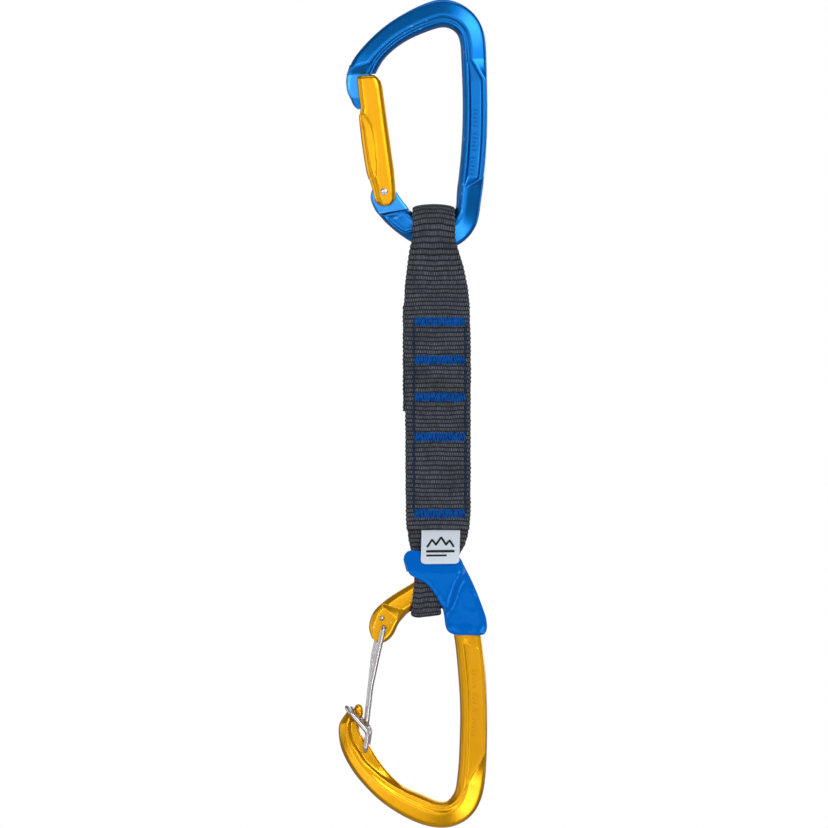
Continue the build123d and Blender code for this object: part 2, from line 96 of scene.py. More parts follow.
def mesh_object(name, solid, material, sharp=SHARP):
    points, faces, uv = solid
    mesh = bpy.data.meshes.new(name)
    mesh.from_pydata((points * MM).tolist(), [], faces)
    layer = mesh.uv_layers.new(name="Cloth")
    corners = np.empty(len(mesh.loops), np.int32)
    mesh.loops.foreach_get("vertex_index", corners)
    layer.data.foreach_set("uv", uv[corners].astype(np.float32).ravel())
    mesh.shade_smooth()
    mesh.set_sharp_from_angle(angle=math.radians(sharp))
    mesh.materials.append(material)
    obj = bpy.data.objects.new(name, mesh)
    bpy.context.scene.collection.objects.link(obj)
    return obj


def apply_modifiers(obj):
    evaluated = obj.evaluated_get(bpy.context.evaluated_depsgraph_get())
    mesh = bpy.data.meshes.new_from_object(evaluated)
    obj.modifiers.clear()
    obj.data = mesh


def cut(obj, cutters):
    """Takes the cutters out of the object, and deletes them."""
    for cutter in cutters:
        boolean = obj.modifiers.new("cut", "BOOLEAN")
        boolean.operation = "DIFFERENCE"
        boolean.solver = "EXACT"
        boolean.object = cutter
    apply_modifiers(obj)
    for cutter in cutters:
        bpy.data.objects.remove(cutter)
    obj.data.set_sharp_from_angle(angle=math.radians(CUT_SHARP))


def finish_piece(obj, body, slot, *nodes):
    """The piece rides on a body and stands for CAD nodes; the slot is not used."""
    if body:
        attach(obj, body)
    if nodes:
        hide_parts(*nodes)


# ==== curves
SHORTEST_SPAN = 0.3  # knots of a spline are never closer than this
FINENESS = 40  # points to a knot, before they are spaced evenly
BEND_POINTS = 13  # points round one bend of a wire
WIRE_STEP = 0.4
CAP_ANGLES = np.radians([80, 60, 40, 20])  # rings of a tube's round end
SIDE_HINT = [0.03, 1, 0.05]  # a tube's first side is square to this
TURNED_SIDES = 40


def read(table, place):
    """The value of a table of (place, value) pairs, in line between its entries."""
    places, values = zip(*sorted(table))
    return np.interp(place, places, values)


def travelled(line):
    """Distance along a polyline at each of its points."""
    return np.concatenate([[0], np.cumsum(np.linalg.norm(np.diff(line, axis=0), axis=1))])


def directions(line):
    """Unit tangent at each point of a polyline."""
    tangent = np.gradient(line, axis=0)
    return tangent / np.linalg.norm(tangent, axis=1)[:, None]


def spline(points):
    """Natural cubic spline through the points by chord length: (function of a knot value, knots)."""
    p = np.array(points, float)
    spans = np.maximum(np.linalg.norm(np.diff(p, axis=0), axis=1), SHORTEST_SPAN)
    knots = np.concatenate([[0], np.cumsum(spans)])
    h = np.diff(knots)
    n = len(p)
    a = np.eye(n)
    b = np.zeros_like(p)
    for i in range(1, n - 1):
        a[i, i - 1:i + 2] = h[i - 1], 2 * (h[i - 1] + h[i]), h[i]
        b[i] = 6 * ((p[i + 1] - p[i]) / h[i] - (p[i] - p[i - 1]) / h[i - 1])
    bend = np.linalg.solve(a, b)

    def at(s):
        i = np.clip(np.searchsorted(knots, s, side="right") - 1, 0, n - 2)
        left, right, span = (s - knots[i])[:, None], (knots[i + 1] - s)[:, None], h[i][:, None]
        curve = (bend[i] * right ** 3 + bend[i + 1] * left ** 3) / (6 * span)
        before = (p[i] / span - bend[i] * span / 6) * right
        after = (p[i + 1] / span - bend[i + 1] * span / 6) * left
        return curve + before + after

    return at, knots


def even(points, step):
    """Points evenly spaced along a smooth curve through the given ones."""
    at, knots = spline(points)
    fine = at(np.linspace(0, knots[-1], FINENESS * len(knots)))
    return along(fine, step)


def along(line, step):
    """The polyline's points again, evenly spaced."""
    length = travelled(line)
    wanted = np.linspace(0, length[-1], max(2, round(length[-1] / step) + 1))
    return np.stack([np.interp(wanted, length, line[:, k]) for k in range(line.shape[1])], -1)


def bent(points, radii):
    """Straight runs joined by arcs, one radius for each inner corner."""
    p = [np.array(q, float) for q in points]
    line = [p[0]]
    for before, corner, after, radius in zip(p, p[1:], p[2:], radii):
        a = (before - corner) / np.linalg.norm(before - corner)
        b = (after - corner) / np.linalg.norm(after - corner)
        half = math.acos(np.clip(a @ b, -1, 1)) / 2
        middle = (a + b) / np.linalg.norm(a + b)
        centre = corner + middle * radius / math.sin(half)
        start = corner + a * radius / math.tan(half) - centre
        end = corner + b * radius / math.tan(half) - centre
        turn = math.pi - 2 * half
        for f in np.linspace(0, 1, BEND_POINTS):
            spoke = start * math.sin((1 - f) * turn) + end * math.sin(f * turn)
            line.append(centre + spoke / math.sin(turn))
    line.append(p[-1])
    return along(np.array(line), WIRE_STEP)


def tube(line, radius, sides, flat=1):
    """Wire or thread along a line, round at its ends; flat stretches it along its first side."""
    line = np.asarray(line, float)
    tangent = directions(line)
    side = np.cross(tangent[0], SIDE_HINT)
    sides_at = []
    for t in tangent:
        side = side - (side @ t) * t
        side /= np.linalg.norm(side)
        sides_at.append(side)
    caps = len(CAP_ANGLES)
    lead = [line[0] - tangent[0] * radius * math.sin(a) for a in CAP_ANGLES]
    tail = [line[-1] + tangent[-1] * radius * math.sin(a) for a in CAP_ANGLES[::-1]]
    round_end = radius * np.cos(CAP_ANGLES)
    radii = np.concatenate([round_end, np.full(len(line), radius), round_end[::-1]])[:, None, None]
    first = np.pad(np.array(sides_at), ((caps, caps), (0, 0)), "edge")
    second = np.pad(np.cross(tangent, sides_at), ((caps, caps), (0, 0)), "edge")
    line = np.concatenate([lead, line, tail])
    angle = np.linspace(0, math.tau, sides, endpoint=False)
    rings = (line[:, None] + flat * radii * np.cos(angle)[None, :, None] * first[:, None]
             + radii * np.sin(angle)[None, :, None] * second[:, None])
    uv = np.stack(np.broadcast_arrays(angle[None, :] / math.tau, travelled(line)[:, None]), -1)
    return ring_solid(rings, uv)


def block(low, high):
    """A plain box, for cutting."""
    (x0, y0, z0), (x1, y1, z1) = low, high
    ring = np.array([[x0, y0], [x1, y0], [x1, y1], [x0, y1]], float)
    rings = np.stack([np.column_stack([ring, np.full(4, z)]) for z in (z0, z1)])
    return ring_solid(rings)


def turned(x, z, profile):
    """A solid of revolution about an axis along Y, from (radius, y) pairs."""
    angle = np.linspace(0, math.tau, TURNED_SIDES, endpoint=False)
    cos, sin = np.cos(angle), np.sin(angle)
    rings = [np.column_stack([x + r * cos, np.full(TURNED_SIDES, y), z + r * sin]) for r, y in profile]
    return ring_solid(np.stack(rings))


def pebble(centre, radii, sides=28):
    """An ellipsoid."""
    angle = np.linspace(0, math.tau, sides, endpoint=False)
    rise = np.linspace(-1.5, 1.5, 22)  # almost from pole to pole
    ring = np.column_stack([np.cos(angle), np.sin(angle), np.zeros(sides)])
    rings = np.stack([ring * math.cos(a) + [0, 0, math.sin(a)] for a in rise])
    return ring_solid(rings * np.array(radii) + np.array(centre))


# ==== materials
EVEN = (0, 1)
WHITE = (1, 1, 1, 1)


class Nodes:
    """The node tree of a material or a world, with short calls to add and join nodes."""

    def __init__(self, owner, shader="Principled BSDF"):
        owner.use_nodes = True
        self.owner = owner
        self.tree = owner.node_tree
        self.shader = self.tree.nodes[shader]

    def add(self, kind, inputs=None, **settings):
        node = self.tree.nodes.new(kind)
        for key, value in settings.items():
            setattr(node, key, value)
        for key, value in (inputs or {}).items():
            if isinstance(value, bpy.types.NodeSocket):
                self.tree.links.new(value, node.inputs[key])
            else:
                node.inputs[key].default_value = value
        return node

    def link(self, output, name):
        self.tree.links.new(output, self.shader.inputs[name])

    def set(self, **values):
        for key, value in values.items():
            self.shader.inputs[key.replace("_", " ")].default_value = value

    def math(self, operation, a, b=0):
        return self.add("ShaderNodeMath", {0: a, 1: b}, operation=operation).outputs[0]

    def mix(self, factor, a, b):
        node = self.add("ShaderNodeMix", {0: factor, 6: a, 7: b}, data_type="RGBA")
        return node.outputs[2]

    def noise(self, vector, scale, detail=3):
        inputs = {"Vector": vector, "Scale": scale, "Detail": detail}
        return self.add("ShaderNodeTexNoise", inputs).outputs["Fac"]

    def remap(self, value, target, source=EVEN):
        """The value with one range stretched over another, and held at both ends."""
        inputs = {0: value, 1: source[0], 2: source[1], 3: target[0], 4: target[1]}
        return self.add("ShaderNodeMapRange", inputs).outputs[0]

    def stretched(self, space, scale, turn=0):
        """Texture space with its own scale across and along, turned in its plane."""
        inputs = {"Vector": space, "Scale": scale, "Rotation": (0, 0, turn)}
        return self.add("ShaderNodeMapping", inputs).outputs[0]

    def object_space(self):
        return self.add("ShaderNodeTexCoord").outputs["Object"]

    def cloth_space(self):
        return self.add("ShaderNodeUVMap", uv_map="Cloth").outputs["UV"]

    def bump(self, height, distance, strength):
        node = self.add("ShaderNodeBump", {"Height": height, "Distance": distance, "Strength": strength})
        self.link(node.outputs["Normal"], "Normal")


def anodised(name, deep, bright, edge):
    """Bead-blasted, dyed aluminium with a soft sheen, paler on its sharp edges: a little rubbed wear, and a
    painted edge highlight.
    """
    m = Nodes(bpy.data.materials.new(name))
    space = m.object_space()
    cloud = m.remap(m.noise(space, scale=60, detail=2), (0.25, 0.75))
    # sharp convex edges are mixed towards the paler edge colour: partly rubbed wear, partly a painted
    # highlight
    pointed = m.add("ShaderNodeNewGeometry").outputs["Pointiness"]
    rubbed_and_highlit = m.remap(pointed, (0, 0.55), source=(0.53, 0.60))
    m.link(m.mix(rubbed_and_highlit, m.mix(cloud, deep, bright), edge), "Base Color")
    m.link(m.remap(m.noise(space, scale=400.0), (0.26, 0.36)), "Roughness")
    m.bump(m.noise(space, scale=2600, detail=2), distance=0.000006, strength=0.05)
    m.set(Metallic=0.93, Coat_Weight=0.14, Coat_Roughness=0.14)
    return m.owner


def stainless():
    """Drawn wire, bright, with faint marks along its length."""
    pale, dark = (0.52, 0.50, 0.51, 1), (0.43, 0.41, 0.42, 1)
    m = Nodes(bpy.data.materials.new("stainless"))
    drawn = m.noise(m.stretched(m.cloth_space(), (9, 0.05, 1)), scale=1, detail=2)
    m.link(m.mix(drawn, dark, pale), "Base Color")
    m.link(m.remap(drawn, (0.26, 0.31)), "Roughness")
    m.set(Metallic=1)
    return m.owner


def woven_webbing():
    """Dark grey nylon: a row of plump floats to each rib, offset from rib to rib, with painted shade in the
    gaps between floats and in the grooves between ribs.
    """
    pale_float, dark_float = (0.094, 0.104, 0.122, 1), (0.056, 0.062, 0.076, 1)
    pale_yarn, dull_patch = (0.120, 0.126, 0.138, 1), (0.022, 0.025, 0.032, 1)
    # the two darkest colours are painted shade for the crevices of the weave: between the ribs and between
    # the floats
    groove, painted_gap_shade = (0.012, 0.014, 0.019, 1), (0.004, 0.005, 0.008, 1)
    m = Nodes(bpy.data.materials.new("webbing_nylon"))
    space = m.cloth_space()
    floats = m.add("ShaderNodeTexBrick", {
        "Vector": space, "Scale": 1.0, "Mortar Size": 0.21, "Mortar Smooth": 0.9, "Brick Width": 0.92,
        "Row Height": 1.0, "Color1": pale_float, "Color2": dark_float, "Mortar": painted_gap_shade}, offset=0.5)
    yarn = m.noise(m.stretched(space, (2.6, 5, 1)), scale=1, detail=4)
    patches = m.noise(m.object_space(), scale=120)
    colour = m.mix(m.remap(yarn, (0.0, 0.75), source=(0.52, 0.72)), floats.outputs["Color"], pale_yarn)
    colour = m.mix(m.remap(patches, (0, 0.5), source=(0.5, 0.75)), colour, dull_patch)
    # painted shade: the colour darkens towards the groove between two ribs
    ribs = m.add("ShaderNodeSeparateXYZ", {0: space}).outputs["Y"]
    crown = m.math("ABSOLUTE", m.math("SINE", m.math("MULTIPLY", ribs, math.pi)))
    colour = m.mix(m.remap(crown, (0.34, 1), source=(0, 0.7)), groove, colour)
    m.link(colour, "Base Color")
    height = m.math("SUBTRACT", m.math("MULTIPLY", yarn, 0.5), floats.outputs["Fac"])
    m.bump(height, distance=0.00030, strength=0.9)
    m.set(Roughness=0.88, Sheen_Weight=0.06, Sheen_Roughness=0.4, Specular_IOR_Level=0.15)
    return m.owner


def thread(name, light, dark):
    """Twisted polyester sewing thread, darker here and there along its length, with painted shade in the
    grooves of its twist.
    """
    m = Nodes(bpy.data.materials.new(name))
    space = m.cloth_space()
    twisted = m.stretched(space, (2, 1.4, 1), turn=0.6)
    ply = m.add("ShaderNodeTexWave", {"Vector": twisted, "Scale": 1.0, "Distortion": 0.6}).outputs["Fac"]
    run = m.noise(m.stretched(space, (0, 0.28, 1)), scale=1, detail=0)
    stitch = m.remap(run, EVEN, source=(0.26, 0.6))
    # the colour darkens where the twist's bump is low: painted shade in its grooves
    m.link(m.mix(m.math("MULTIPLY", m.math("ADD", ply, 0.35), stitch), dark, light), "Base Color")
    m.bump(ply, distance=0.00008, strength=0.7)
    m.set(Roughness=0.6, Specular_IOR_Level=0.1)
    return m.owner


def moulded_rubber():
    """Glossy blue thermoplastic rubber with a faintly uneven, soft surface."""
    deep, bright = (0, 0.100, 0.45, 1), (0, 0.118, 0.52, 1)
    m = Nodes(bpy.data.materials.new("keeper_moulding"))
    space = m.object_space()
    flow = m.remap(m.noise(space, scale=130, detail=2), (0.2, 0.8))
    m.link(m.mix(flow, deep, bright), "Base Color")
    m.link(m.remap(m.noise(space, scale=420.0), (0.10, 0.16)), "Roughness")
    m.bump(m.noise(space, scale=215, detail=1), distance=0.0008, strength=0.5)
    m.set(Specular_IOR_Level=0.5, Specular_Tint=(0.06, 0.5, 1, 1))
    return m.owner


def label_satin():
    """White woven satin, with painted shade in the gaps between its threads."""
    # the darkest colour is painted shade in the gaps of the weave
    pale, grey, painted_gap_shade = (0.64, 0.71, 0.77, 1), (0.58, 0.65, 0.72, 1), (0.42, 0.46, 0.52, 1)
    m = Nodes(bpy.data.materials.new("label_satin"))
    weave = m.add("ShaderNodeTexBrick", {
        "Vector": m.stretched(m.cloth_space(), (4.0, 7.0, 1.0)), "Scale": 1.0, "Mortar Size": 0.12,
        "Mortar Smooth": 1.0, "Brick Width": 1.0, "Row Height": 0.5,
        "Color1": pale, "Color2": grey, "Mortar": painted_gap_shade})
    m.link(weave.outputs["Color"], "Base Color")
    m.bump(weave.outputs["Fac"], distance=0.00006, strength=-0.6)
    m.set(Roughness=0.55, Sheen_Weight=0.2)
    return m.owner


def pale_floor():
    """Matt and nearly white, with a little light of its own that only the camera sees."""
    m = Nodes(bpy.data.materials.new("pale_floor"))
    grain = m.noise(m.object_space(), scale=3)
    m.link(m.mix(grain, (0.86, 0.86, 0.86, 1), (0.9, 0.9, 0.9, 1)), "Base Color")
    seen = m.add("ShaderNodeLightPath").outputs["Is Camera Ray"]
    m.link(m.math("MULTIPLY", seen, 0.5), "Emission Strength")
    m.set(Roughness=0.9, Emission_Color=WHITE)
    return m.owner


BLUE = anodised("blue_anodised", (0.0, 0.125, 0.43, 1), (0.0, 0.155, 0.50, 1), (0.10, 0.34, 0.80, 1))
BLUE_CUT = anodised("blue_machined", (0.02, 0.24, 0.66, 1), (0.04, 0.29, 0.72, 1), (0.16, 0.45, 0.85, 1))
GOLD = anodised("gold_anodised", (0.66, 0.300, 0.001, 1), (0.73, 0.348, 0.002, 1), (0.92, 0.58, 0.09, 1))
STEEL = stainless()
NYLON = woven_webbing()
BLUE_THREAD = thread("bar_tack_thread", (0.001, 0.106, 0.44, 1), (0.0, 0.019, 0.10, 1))
NAVY_THREAD = thread("edge_stitch_thread", (0.022, 0.040, 0.085, 1), (0.008, 0.014, 0.032, 1))
BLACK_THREAD = thread("label_thread", (0.03, 0.03, 0.035, 1), (0.01, 0.01, 0.012, 1))
RUBBER = moulded_rubber()
SATIN = label_satin()


# ==== forged frames
# A frame's half thickness from its inner edge (0) to its outer edge (1). Every section has the
# same eleven corners between the two, so one melts into the next: three on the inner lip, four
# on the groove or pocket, two on the ridge, and two for the outer facet.
SHOULDER = [
    (.03, 1.5), (.1, 3), (.17, 3.7), (.215, 3.5), (.26, 2.8), (.305, 2.4), (.345, 2.2),
    (.37, 2.15), (.4, 2.1), (.935, 2.05), (.985, 1.2)
]
ARC = [
    (.025, 1.6), (.08, 3.1), (.17, 4.2), (.215, 4.25), (.26, 3.9), (.3, 3.92), (.345, 4.24),
    (.385, 4.54), (.43, 4.75), (.935, 3.35), (.985, 1.8)
]
SCALLOP = [
    (.02, 1.7), (.08, 3.4), (.2, 4.5), (.27, 4.5), (.3, 4.1), (.36, 4.1), (.41, 4.6),
    (.45, 4.72), (.49, 4.75), (.93, 3.5), (.985, 1.8)
]
SPINE = [
    (.02, 1.8), (.07, 3.5), (.22, 4.7), (.28, 4.6), (.325, 3.55), (.74, 3.55), (.785, 4.5),
    (.82, 4.6), (.92, 4.45), (.955, 3.6), (.985, 1.9)
]
FACET = [
    (.025, 1.6), (.09, 3.3), (.2, 4.45), (.25, 4.65), (.29, 4.72), (.32, 4.76), (.35, 4.78),
    (.38, 4.8), (.41, 4.8), (.935, 2.5), (.985, 1.4)
]
HINGE_POCKET = [
    (.03, 1.6), (.09, 3.3), (.17, 4.4), (.23, 4.6), (.29, 4.2), (.8, 2.95), (.85, 3.6),
    (.875, 3.7), (.9, 3.65), (.945, 2.9), (.985, 1.5)
]
HINGE_END = [
    (.03, 1.5), (.09, 3), (.17, 4.1), (.23, 4.3), (.29, 4.3), (.8, 3.7), (.85, 3.6),
    (.875, 3.6), (.9, 3.5), (.945, 2.8), (.985, 1.5)
]
HINGE_STEP = [
    (.03, 1.3), (.09, 1.9), (.17, 2.2), (.23, 2.2), (.29, 2.2), (.8, 2.2), (.85, 2.2),
    (.875, 2.2), (.9, 2.2), (.945, 2.1), (.985, 1.2)
]
NOSE_TIP = [
    (.03, 1.4), (.3, 2.5), (.4, 3), (.45, 3.2), (.5, 3.4), (.54, 3.5), (.58, 3.6),
    (.62, 3.6), (.66, 3.6), (.92, 2.8), (.985, 1.4)
]
RECESS = [
    (.04, 3.3), (.4, 3.5), (.46, 4.2), (.51, 4.48), (.54, 4.6), (.57, 4.68), (.6, 4.7),
    (.63, 4.72), (.66, 4.7), (.92, 3.6), (.985, 1.8)
]
LOWER_ARC = [
    (.025, 1.6), (.09, 3.2), (.175, 4.2), (.22, 4.3), (.29, 4.1), (.34, 4.16), (.385, 4.4),
    (.42, 4.6), (.46, 4.74), (.935, 3.3), (.985, 1.7)
]
LOWER_CORNER = [
    (.025, 1.6), (.09, 3.2), (.2, 4.4), (.26, 4.55), (.3, 4.55), (.34, 4.6), (.38, 4.7),
    (.41, 4.75), (.44, 4.78), (.935, 3), (.985, 1.6)
]
LOWER_SPINE = [
    (.02, 1.9), (.07, 3.5), (.22, 4.6), (.3, 4.7), (.345, 4.3), (.86, 4.25), (.89, 4.5),
    (.91, 4.55), (.94, 4.4), (.965, 3.6), (.985, 2)
]
LOWER_TOP = [
    (.02, 1.7), (.08, 3.2), (.22, 4.55), (.3, 4.75), (.345, 4.78), (.5, 4.8), (.6, 4.75),
    (.7, 4.65), (.8, 4.5), (.94, 4), (.985, 2)
]
EYE_NECK = [
    (.03, 1.7), (.1, 3.3), (.2, 4.35), (.28, 4.6), (.34, 4.7), (.5, 4.7), (.62, 4.65),
    (.7, 4.6), (.78, 4.5), (.93, 3.5), (.985, 1.8)
]
EYE = [
    (.03, 1.6), (.07, 2.5), (.12, 3), (.2, 3.15), (.3, 3.2), (.5, 3.2), (.62, 3.2),
    (.7, 3.2), (.8, 3.15), (.93, 2.6), (.98, 1.5)
]
PLATE = [
    (.02, .6), (.05, .9), (.1, 1), (.2, 1), (.3, 1), (.5, 1), (.6, 1),
    (.7, 1), (.8, 1), (.95, .9), (.98, .6)
]
COLUMNS = (4, 8, 5, 3, 4, 8, 4, 3, 3, 10, 4, 4)  # mesh columns between one corner and the next
STATION = 0.7  # mesh rows along a frame
SOFTENINGS = 2  # times that a section's corners are rounded off

HEAD_HALF = 2.7  # half thickness of the head on the nose's tongue
TONGUE_HALF = 2  # and of the tongue and the hinge tang
HOOK_PLACE = (-34, 0, -273.6)  # thin hook that the wire gate catches on
HOOK_SIZE = (1.9, 1.5, 3)
TALLY_PITCH = 1.6
TALLY_GROUP = 5
TALLY_COUNT = 15
TALLY_BAR = (1, 0.3, 0.36)

# outer x, z and inner x, z, from the nose round to the hinge
UPPER = [
    (-38.9, -19.2, -27, -18.6), (-36.3, -13, -24.6, -14.2), (-30.6, -5.8, -21, -10),
    (-22.6, 1.4, -15.4, -5.8), (-15, 6.2, -9.8, -3), (-7.4, 9.8, -4.6, -1),
    (0.2, 11.4, 0, 0), (7.8, 9.2, 3.4, -1), (13.4, 4.4, 5.6, -3.2),
    (16.2, -1.4, 6.6, -6.4), (17.4, -11.4, 7, -12.2), (17.8, -23, 7.4, -23),
    (17.8, -41, 7.4, -41), (16.2, -62.2, 5.9, -60.2), (15, -71, 5.2, -67),
    (13.4, -78.6, 4.9, -71.6), (9, -84.8, 3.8, -74.2), (2.6, -88.4, 1.8, -75.5),
    (-3.8, -89, -1.4, -76), (-11.4, -86.6, -5.4, -76), (-17.8, -82.6, -9.4, -75.4),
    (-23.6, -77.6, -12.2, -74.2), (-26.2, -74.6, -13.8, -72.4),
]
# Each later section takes over between two knots of the outline, given at the outer edge and
# at the inner one, so that a facet can end along a slanting line.
UPPER_SECTIONS = [
    (SHOULDER, None, None), (ARC, (0.04, 0.42), (0.04, 1.2)), (SCALLOP, (10.14, 10.17), (10.14, 10.17)),
    (SPINE, (10.17, 10.78), (10.20, 10.95)), (FACET, (12.82, 13.10), (13.00, 13.55)),
    (HINGE_POCKET, (19.2, 19.9), (19.2, 19.9)), (HINGE_END, (21.15, 21.6), (21, 21.5)),
    (HINGE_STEP, (21.78, 22), (21.6, 22)),
]
UPPER_TONGUE = [
    (-37.6, -15, -28.4, -15), (-38.75, -19.2, -28.6, -18.9), (-39, -22.8, -30.7, -23),
    (-38, -27.2, -31.4, -28), (-36, -30.8, -32.6, -30.4),
]
UPPER_HEAD = [
    (-37.3, -28.2, -31.6, -28.2), (-36.7, -30, -31.8, -29.9), (-35.5, -31.9, -32.3, -31.4),
    (-34.1, -32.9, -33.1, -32.5)
]
UPPER_TANG = [
    (-22.4, -77.4, -13, -74.4), (-26, -74.8, -13.9, -72.2), (-28.2, -71.4, -16.2, -69.2),
    (-29.2, -67.6, -18.3, -66.2), (-28.4, -64.4, -19.8, -64),
]
LOWER = [
    (-38.6, -273.6, -33, -274.2), (-41.6, -278.4, -33.8, -277.4), (-41.9, -282.8, -33.6, -280.8),
    (-41, -288, -32, -284), (-38.8, -293.2, -29.8, -286.6), (-35.4, -298.6, -27.2, -290.6),
    (-31.4, -303.4, -24.2, -295), (-26.6, -308.2, -20.6, -299.2), (-20.2, -313, -15.6, -303.4),
    (-13.4, -316.8, -9.8, -306), (-5.4, -319.6, -4.2, -308.4), (1.4, -320, -0.4, -309.4),
    (7.8, -317.8, 2.6, -308.2), (12.6, -313.4, 4.6, -305), (15.4, -307.4, 5.3, -301.5),
    (16.8, -299, 5.9, -296), (17.4, -287, 6.4, -286), (17.4, -271, 6.6, -271.5),
    (16.8, -257, 5.8, -258), (15.8, -247, 4.8, -247.6), (14.6, -238.4, 3.6, -240.4),
    (12.8, -230.2, 1.6, -234.8), (9.8, -223.4, -1, -232.2), (5.4, -219, -3.4, -231.2),
    (-0.6, -217.2, -5.2, -231.1), (-6.6, -218.4, -8, -231.4), (-12.4, -221.8, -11, -232.4),
    (-17, -224.6, -14.2, -234.2), (-21.6, -227.6, -16, -236), (-24.8, -230.2, -17.9, -238.4),
    (-27.8, -233.4, -19.4, -241.6), (-29.5, -237.4, -21.4, -244.4), (-29.7, -241, -24, -246),
    (-28.6, -244.2, -26.4, -246),
]
LOWER_SECTIONS = [
    (NOSE_TIP, None, None), (RECESS, (0.2, 1), (0.2, 1)), (LOWER_ARC, (4.8, 7.9), (4.8, 7.9)),
    (LOWER_CORNER, (11, 12.6), (11, 12.6)), (LOWER_SPINE, (14.4, 15.8), (13, 13.75)),
    (LOWER_TOP, (18.35, 18.65), (19.6, 19.9)), (EYE_NECK, (25.5, 26.5), (25.5, 26.5)),
    (EYE, (29.02, 29.12), (27.25, 28.75)),
]


def section_points(shape):
    """A section's corners with mesh columns between them."""
    spread = [np.linspace(i, i + 1, n, endpoint=False) for i, n in enumerate(COLUMNS)]
    spread = np.concatenate(spread + [[len(COLUMNS)]])
    corners = np.array([(0, 0)] + shape + [(1, 0)], float)
    return np.stack([np.interp(spread, range(len(corners)), corners[:, k]) for k in range(2)], -1)


def sections_along(sections, stations, knots):
    """The section at each station, as each later one takes over from the one before."""
    shapes = [section_points(shape) for shape, _, _ in sections]
    rows = np.repeat(shapes[0][None], len(stations), 0)
    numbers = range(len(knots))
    for before, after, (_, outer, inner) in zip(shapes, shapes[1:], sections[1:]):
        outer_start, outer_end = np.interp(outer, numbers, knots)
        inner_start, inner_end = np.interp(inner, numbers, knots)
        start = inner_start + (outer_start - inner_start) * after[:, 0]
        end = inner_end + (outer_end - inner_end) * after[:, 0]
        share = np.clip((stations[:, None] - start) / (end - start), 0, 1)
        rows = rows + share[..., None] * (after - before)
    for _ in range(SOFTENINGS):
        rows[:, 1:-1] = (rows[:, :-2] + 2 * rows[:, 1:-1] + rows[:, 2:]) / 4
    return rows


def forged(pairs, sections):
    """A forged frame: its section swept along matched outer and inner outlines."""
    at, knots = spline(pairs)
    stations = np.linspace(0, knots[-1], round(knots[-1] / STATION))
    stations = np.unique(np.concatenate([stations, knots]))
    rows = sections_along(sections, stations, knots)
    across, half = rows[..., 0], rows[..., 1]
    outer_x, outer_z, inner_x, inner_z = at(stations).T[..., None]
    x = inner_x + (outer_x - inner_x) * across
    z = inner_z + (outer_z - inner_z) * across
    front = np.stack([x, -half, z], -1)
    back = np.stack([x, half, z], -1)
    return ring_solid(np.concatenate([front, back[:, -2:0:-1]], 1))


def flat_plate(pairs, half):
    """A plate of even thickness with softened edges."""
    return forged(pairs, [([(u, h * half) for u, h in PLATE], None, None)])


def upper_pocket(z):
    """X of the middle of the upper spine's pocket."""
    return 12.9 + 0.09 * min(z + 41, 0)


def lower_pocket(z):
    """X of the middle of the lower spine's pocket."""
    return 12.6 - 0.0016 * (z + 271) ** 2


def tally(middle, top, depth):
    """A row of low raised bars down a pocket, on the front and the back."""
    bars = []
    for number in range(TALLY_COUNT):
        z = top - TALLY_PITCH * (number + number // TALLY_GROUP)
        for side in (FRONT, BACK):
            bars.append(pebble((middle(z), side * depth, z), TALLY_BAR, sides=14))
    return bars


def upper_frame():
    forging = [forged(UPPER, UPPER_SECTIONS), flat_plate(UPPER_HEAD, HEAD_HALF)]
    forging += tally(upper_pocket, top=-33, depth=3.55)
    obj = mesh_object("upper_frame_forging", joined(forging), BLUE)
    finish_piece(obj, "upper_carabiner", "blue_anodised", "upper_frame")
    flats = [flat_plate(outline, TONGUE_HALF) for outline in (UPPER_TONGUE, UPPER_TANG)]
    obj = mesh_object("upper_frame_machined_flats", joined(flats), BLUE_CUT)
    finish_piece(obj, "upper_carabiner", "blue_anodised")


def lower_frame():
    forging = [forged(LOWER, LOWER_SECTIONS), pebble(HOOK_PLACE, HOOK_SIZE)]
    forging += tally(lower_pocket, top=-257, depth=4.28)
    obj = mesh_object("lower_frame_forging", joined(forging), GOLD)
    finish_piece(obj, "lower_carabiner", "gold_anodised", "lower_frame")


# ==== solid gate
GATE_PIVOT = (-23.8, -65.8)
GATE_TILT = math.radians(7.6)
GATE_FOOT, GATE_TOP = -5.6, 47  # heights here are above the pivot, along the gate
GATE_DEPTH = 4.7  # half thickness
GATE_SIDES = 96
GATE_SQUARE = 3.5  # how square the bar's right side is; 2 is round
LEFT_SQUARE = [(26, 2.6), (31, 4.2)]
GATE_LEFT = [
    (-5.6, 1.8), (-5.2, 2.7), (-3.6, 4.1), (-2, 4.5), (1.4, 4.7), (4, 5.1), (7, 5.7), (9, 6),
    (14, 6.2), (20, 6.3), (28, 6.2), (31.2, 6), (32.6, 5.5), (34.2, 5), (38, 5.1), (45.9, 4.8),
    (46.7, 4.4), (47, 3.8)
]
GATE_RIGHT = [
    (-5.6, 1.8), (-5.2, 2.7), (-3.6, 4.3), (0, 4.9), (8, 5.3), (42, 5.1), (44.6, 4.7), (46.2, 3.7),
    (47, 2.4)
]
GATE_FACE = [(-5.6, 4.3), (-4.8, GATE_DEPTH), (45.6, GATE_DEPTH), (46.6, 4.3), (47, 3.7)]
GATE_FACET = [
    (0, -7), (3, -4.2), (7, -1.9), (12, -1.1), (20, -0.8), (26, -1.1), (29, -2), (31, -3),
    (32.6, -4.1), (34, -5.5), (35.5, -7)
]
FLAT_INSET = 0.04  # of the flat faces, from the full depth
SCOOP_STEP = (0.24, 0.5)  # the facet's first step down, and the width it takes
SCOOP_SLOPE = 0.10  # and its fall from there
GATE_THINNEST = 0.2
TOP_SLANT = 0.09
SLANT_LEVELS = (38, 47)  # where the slant starts and is full

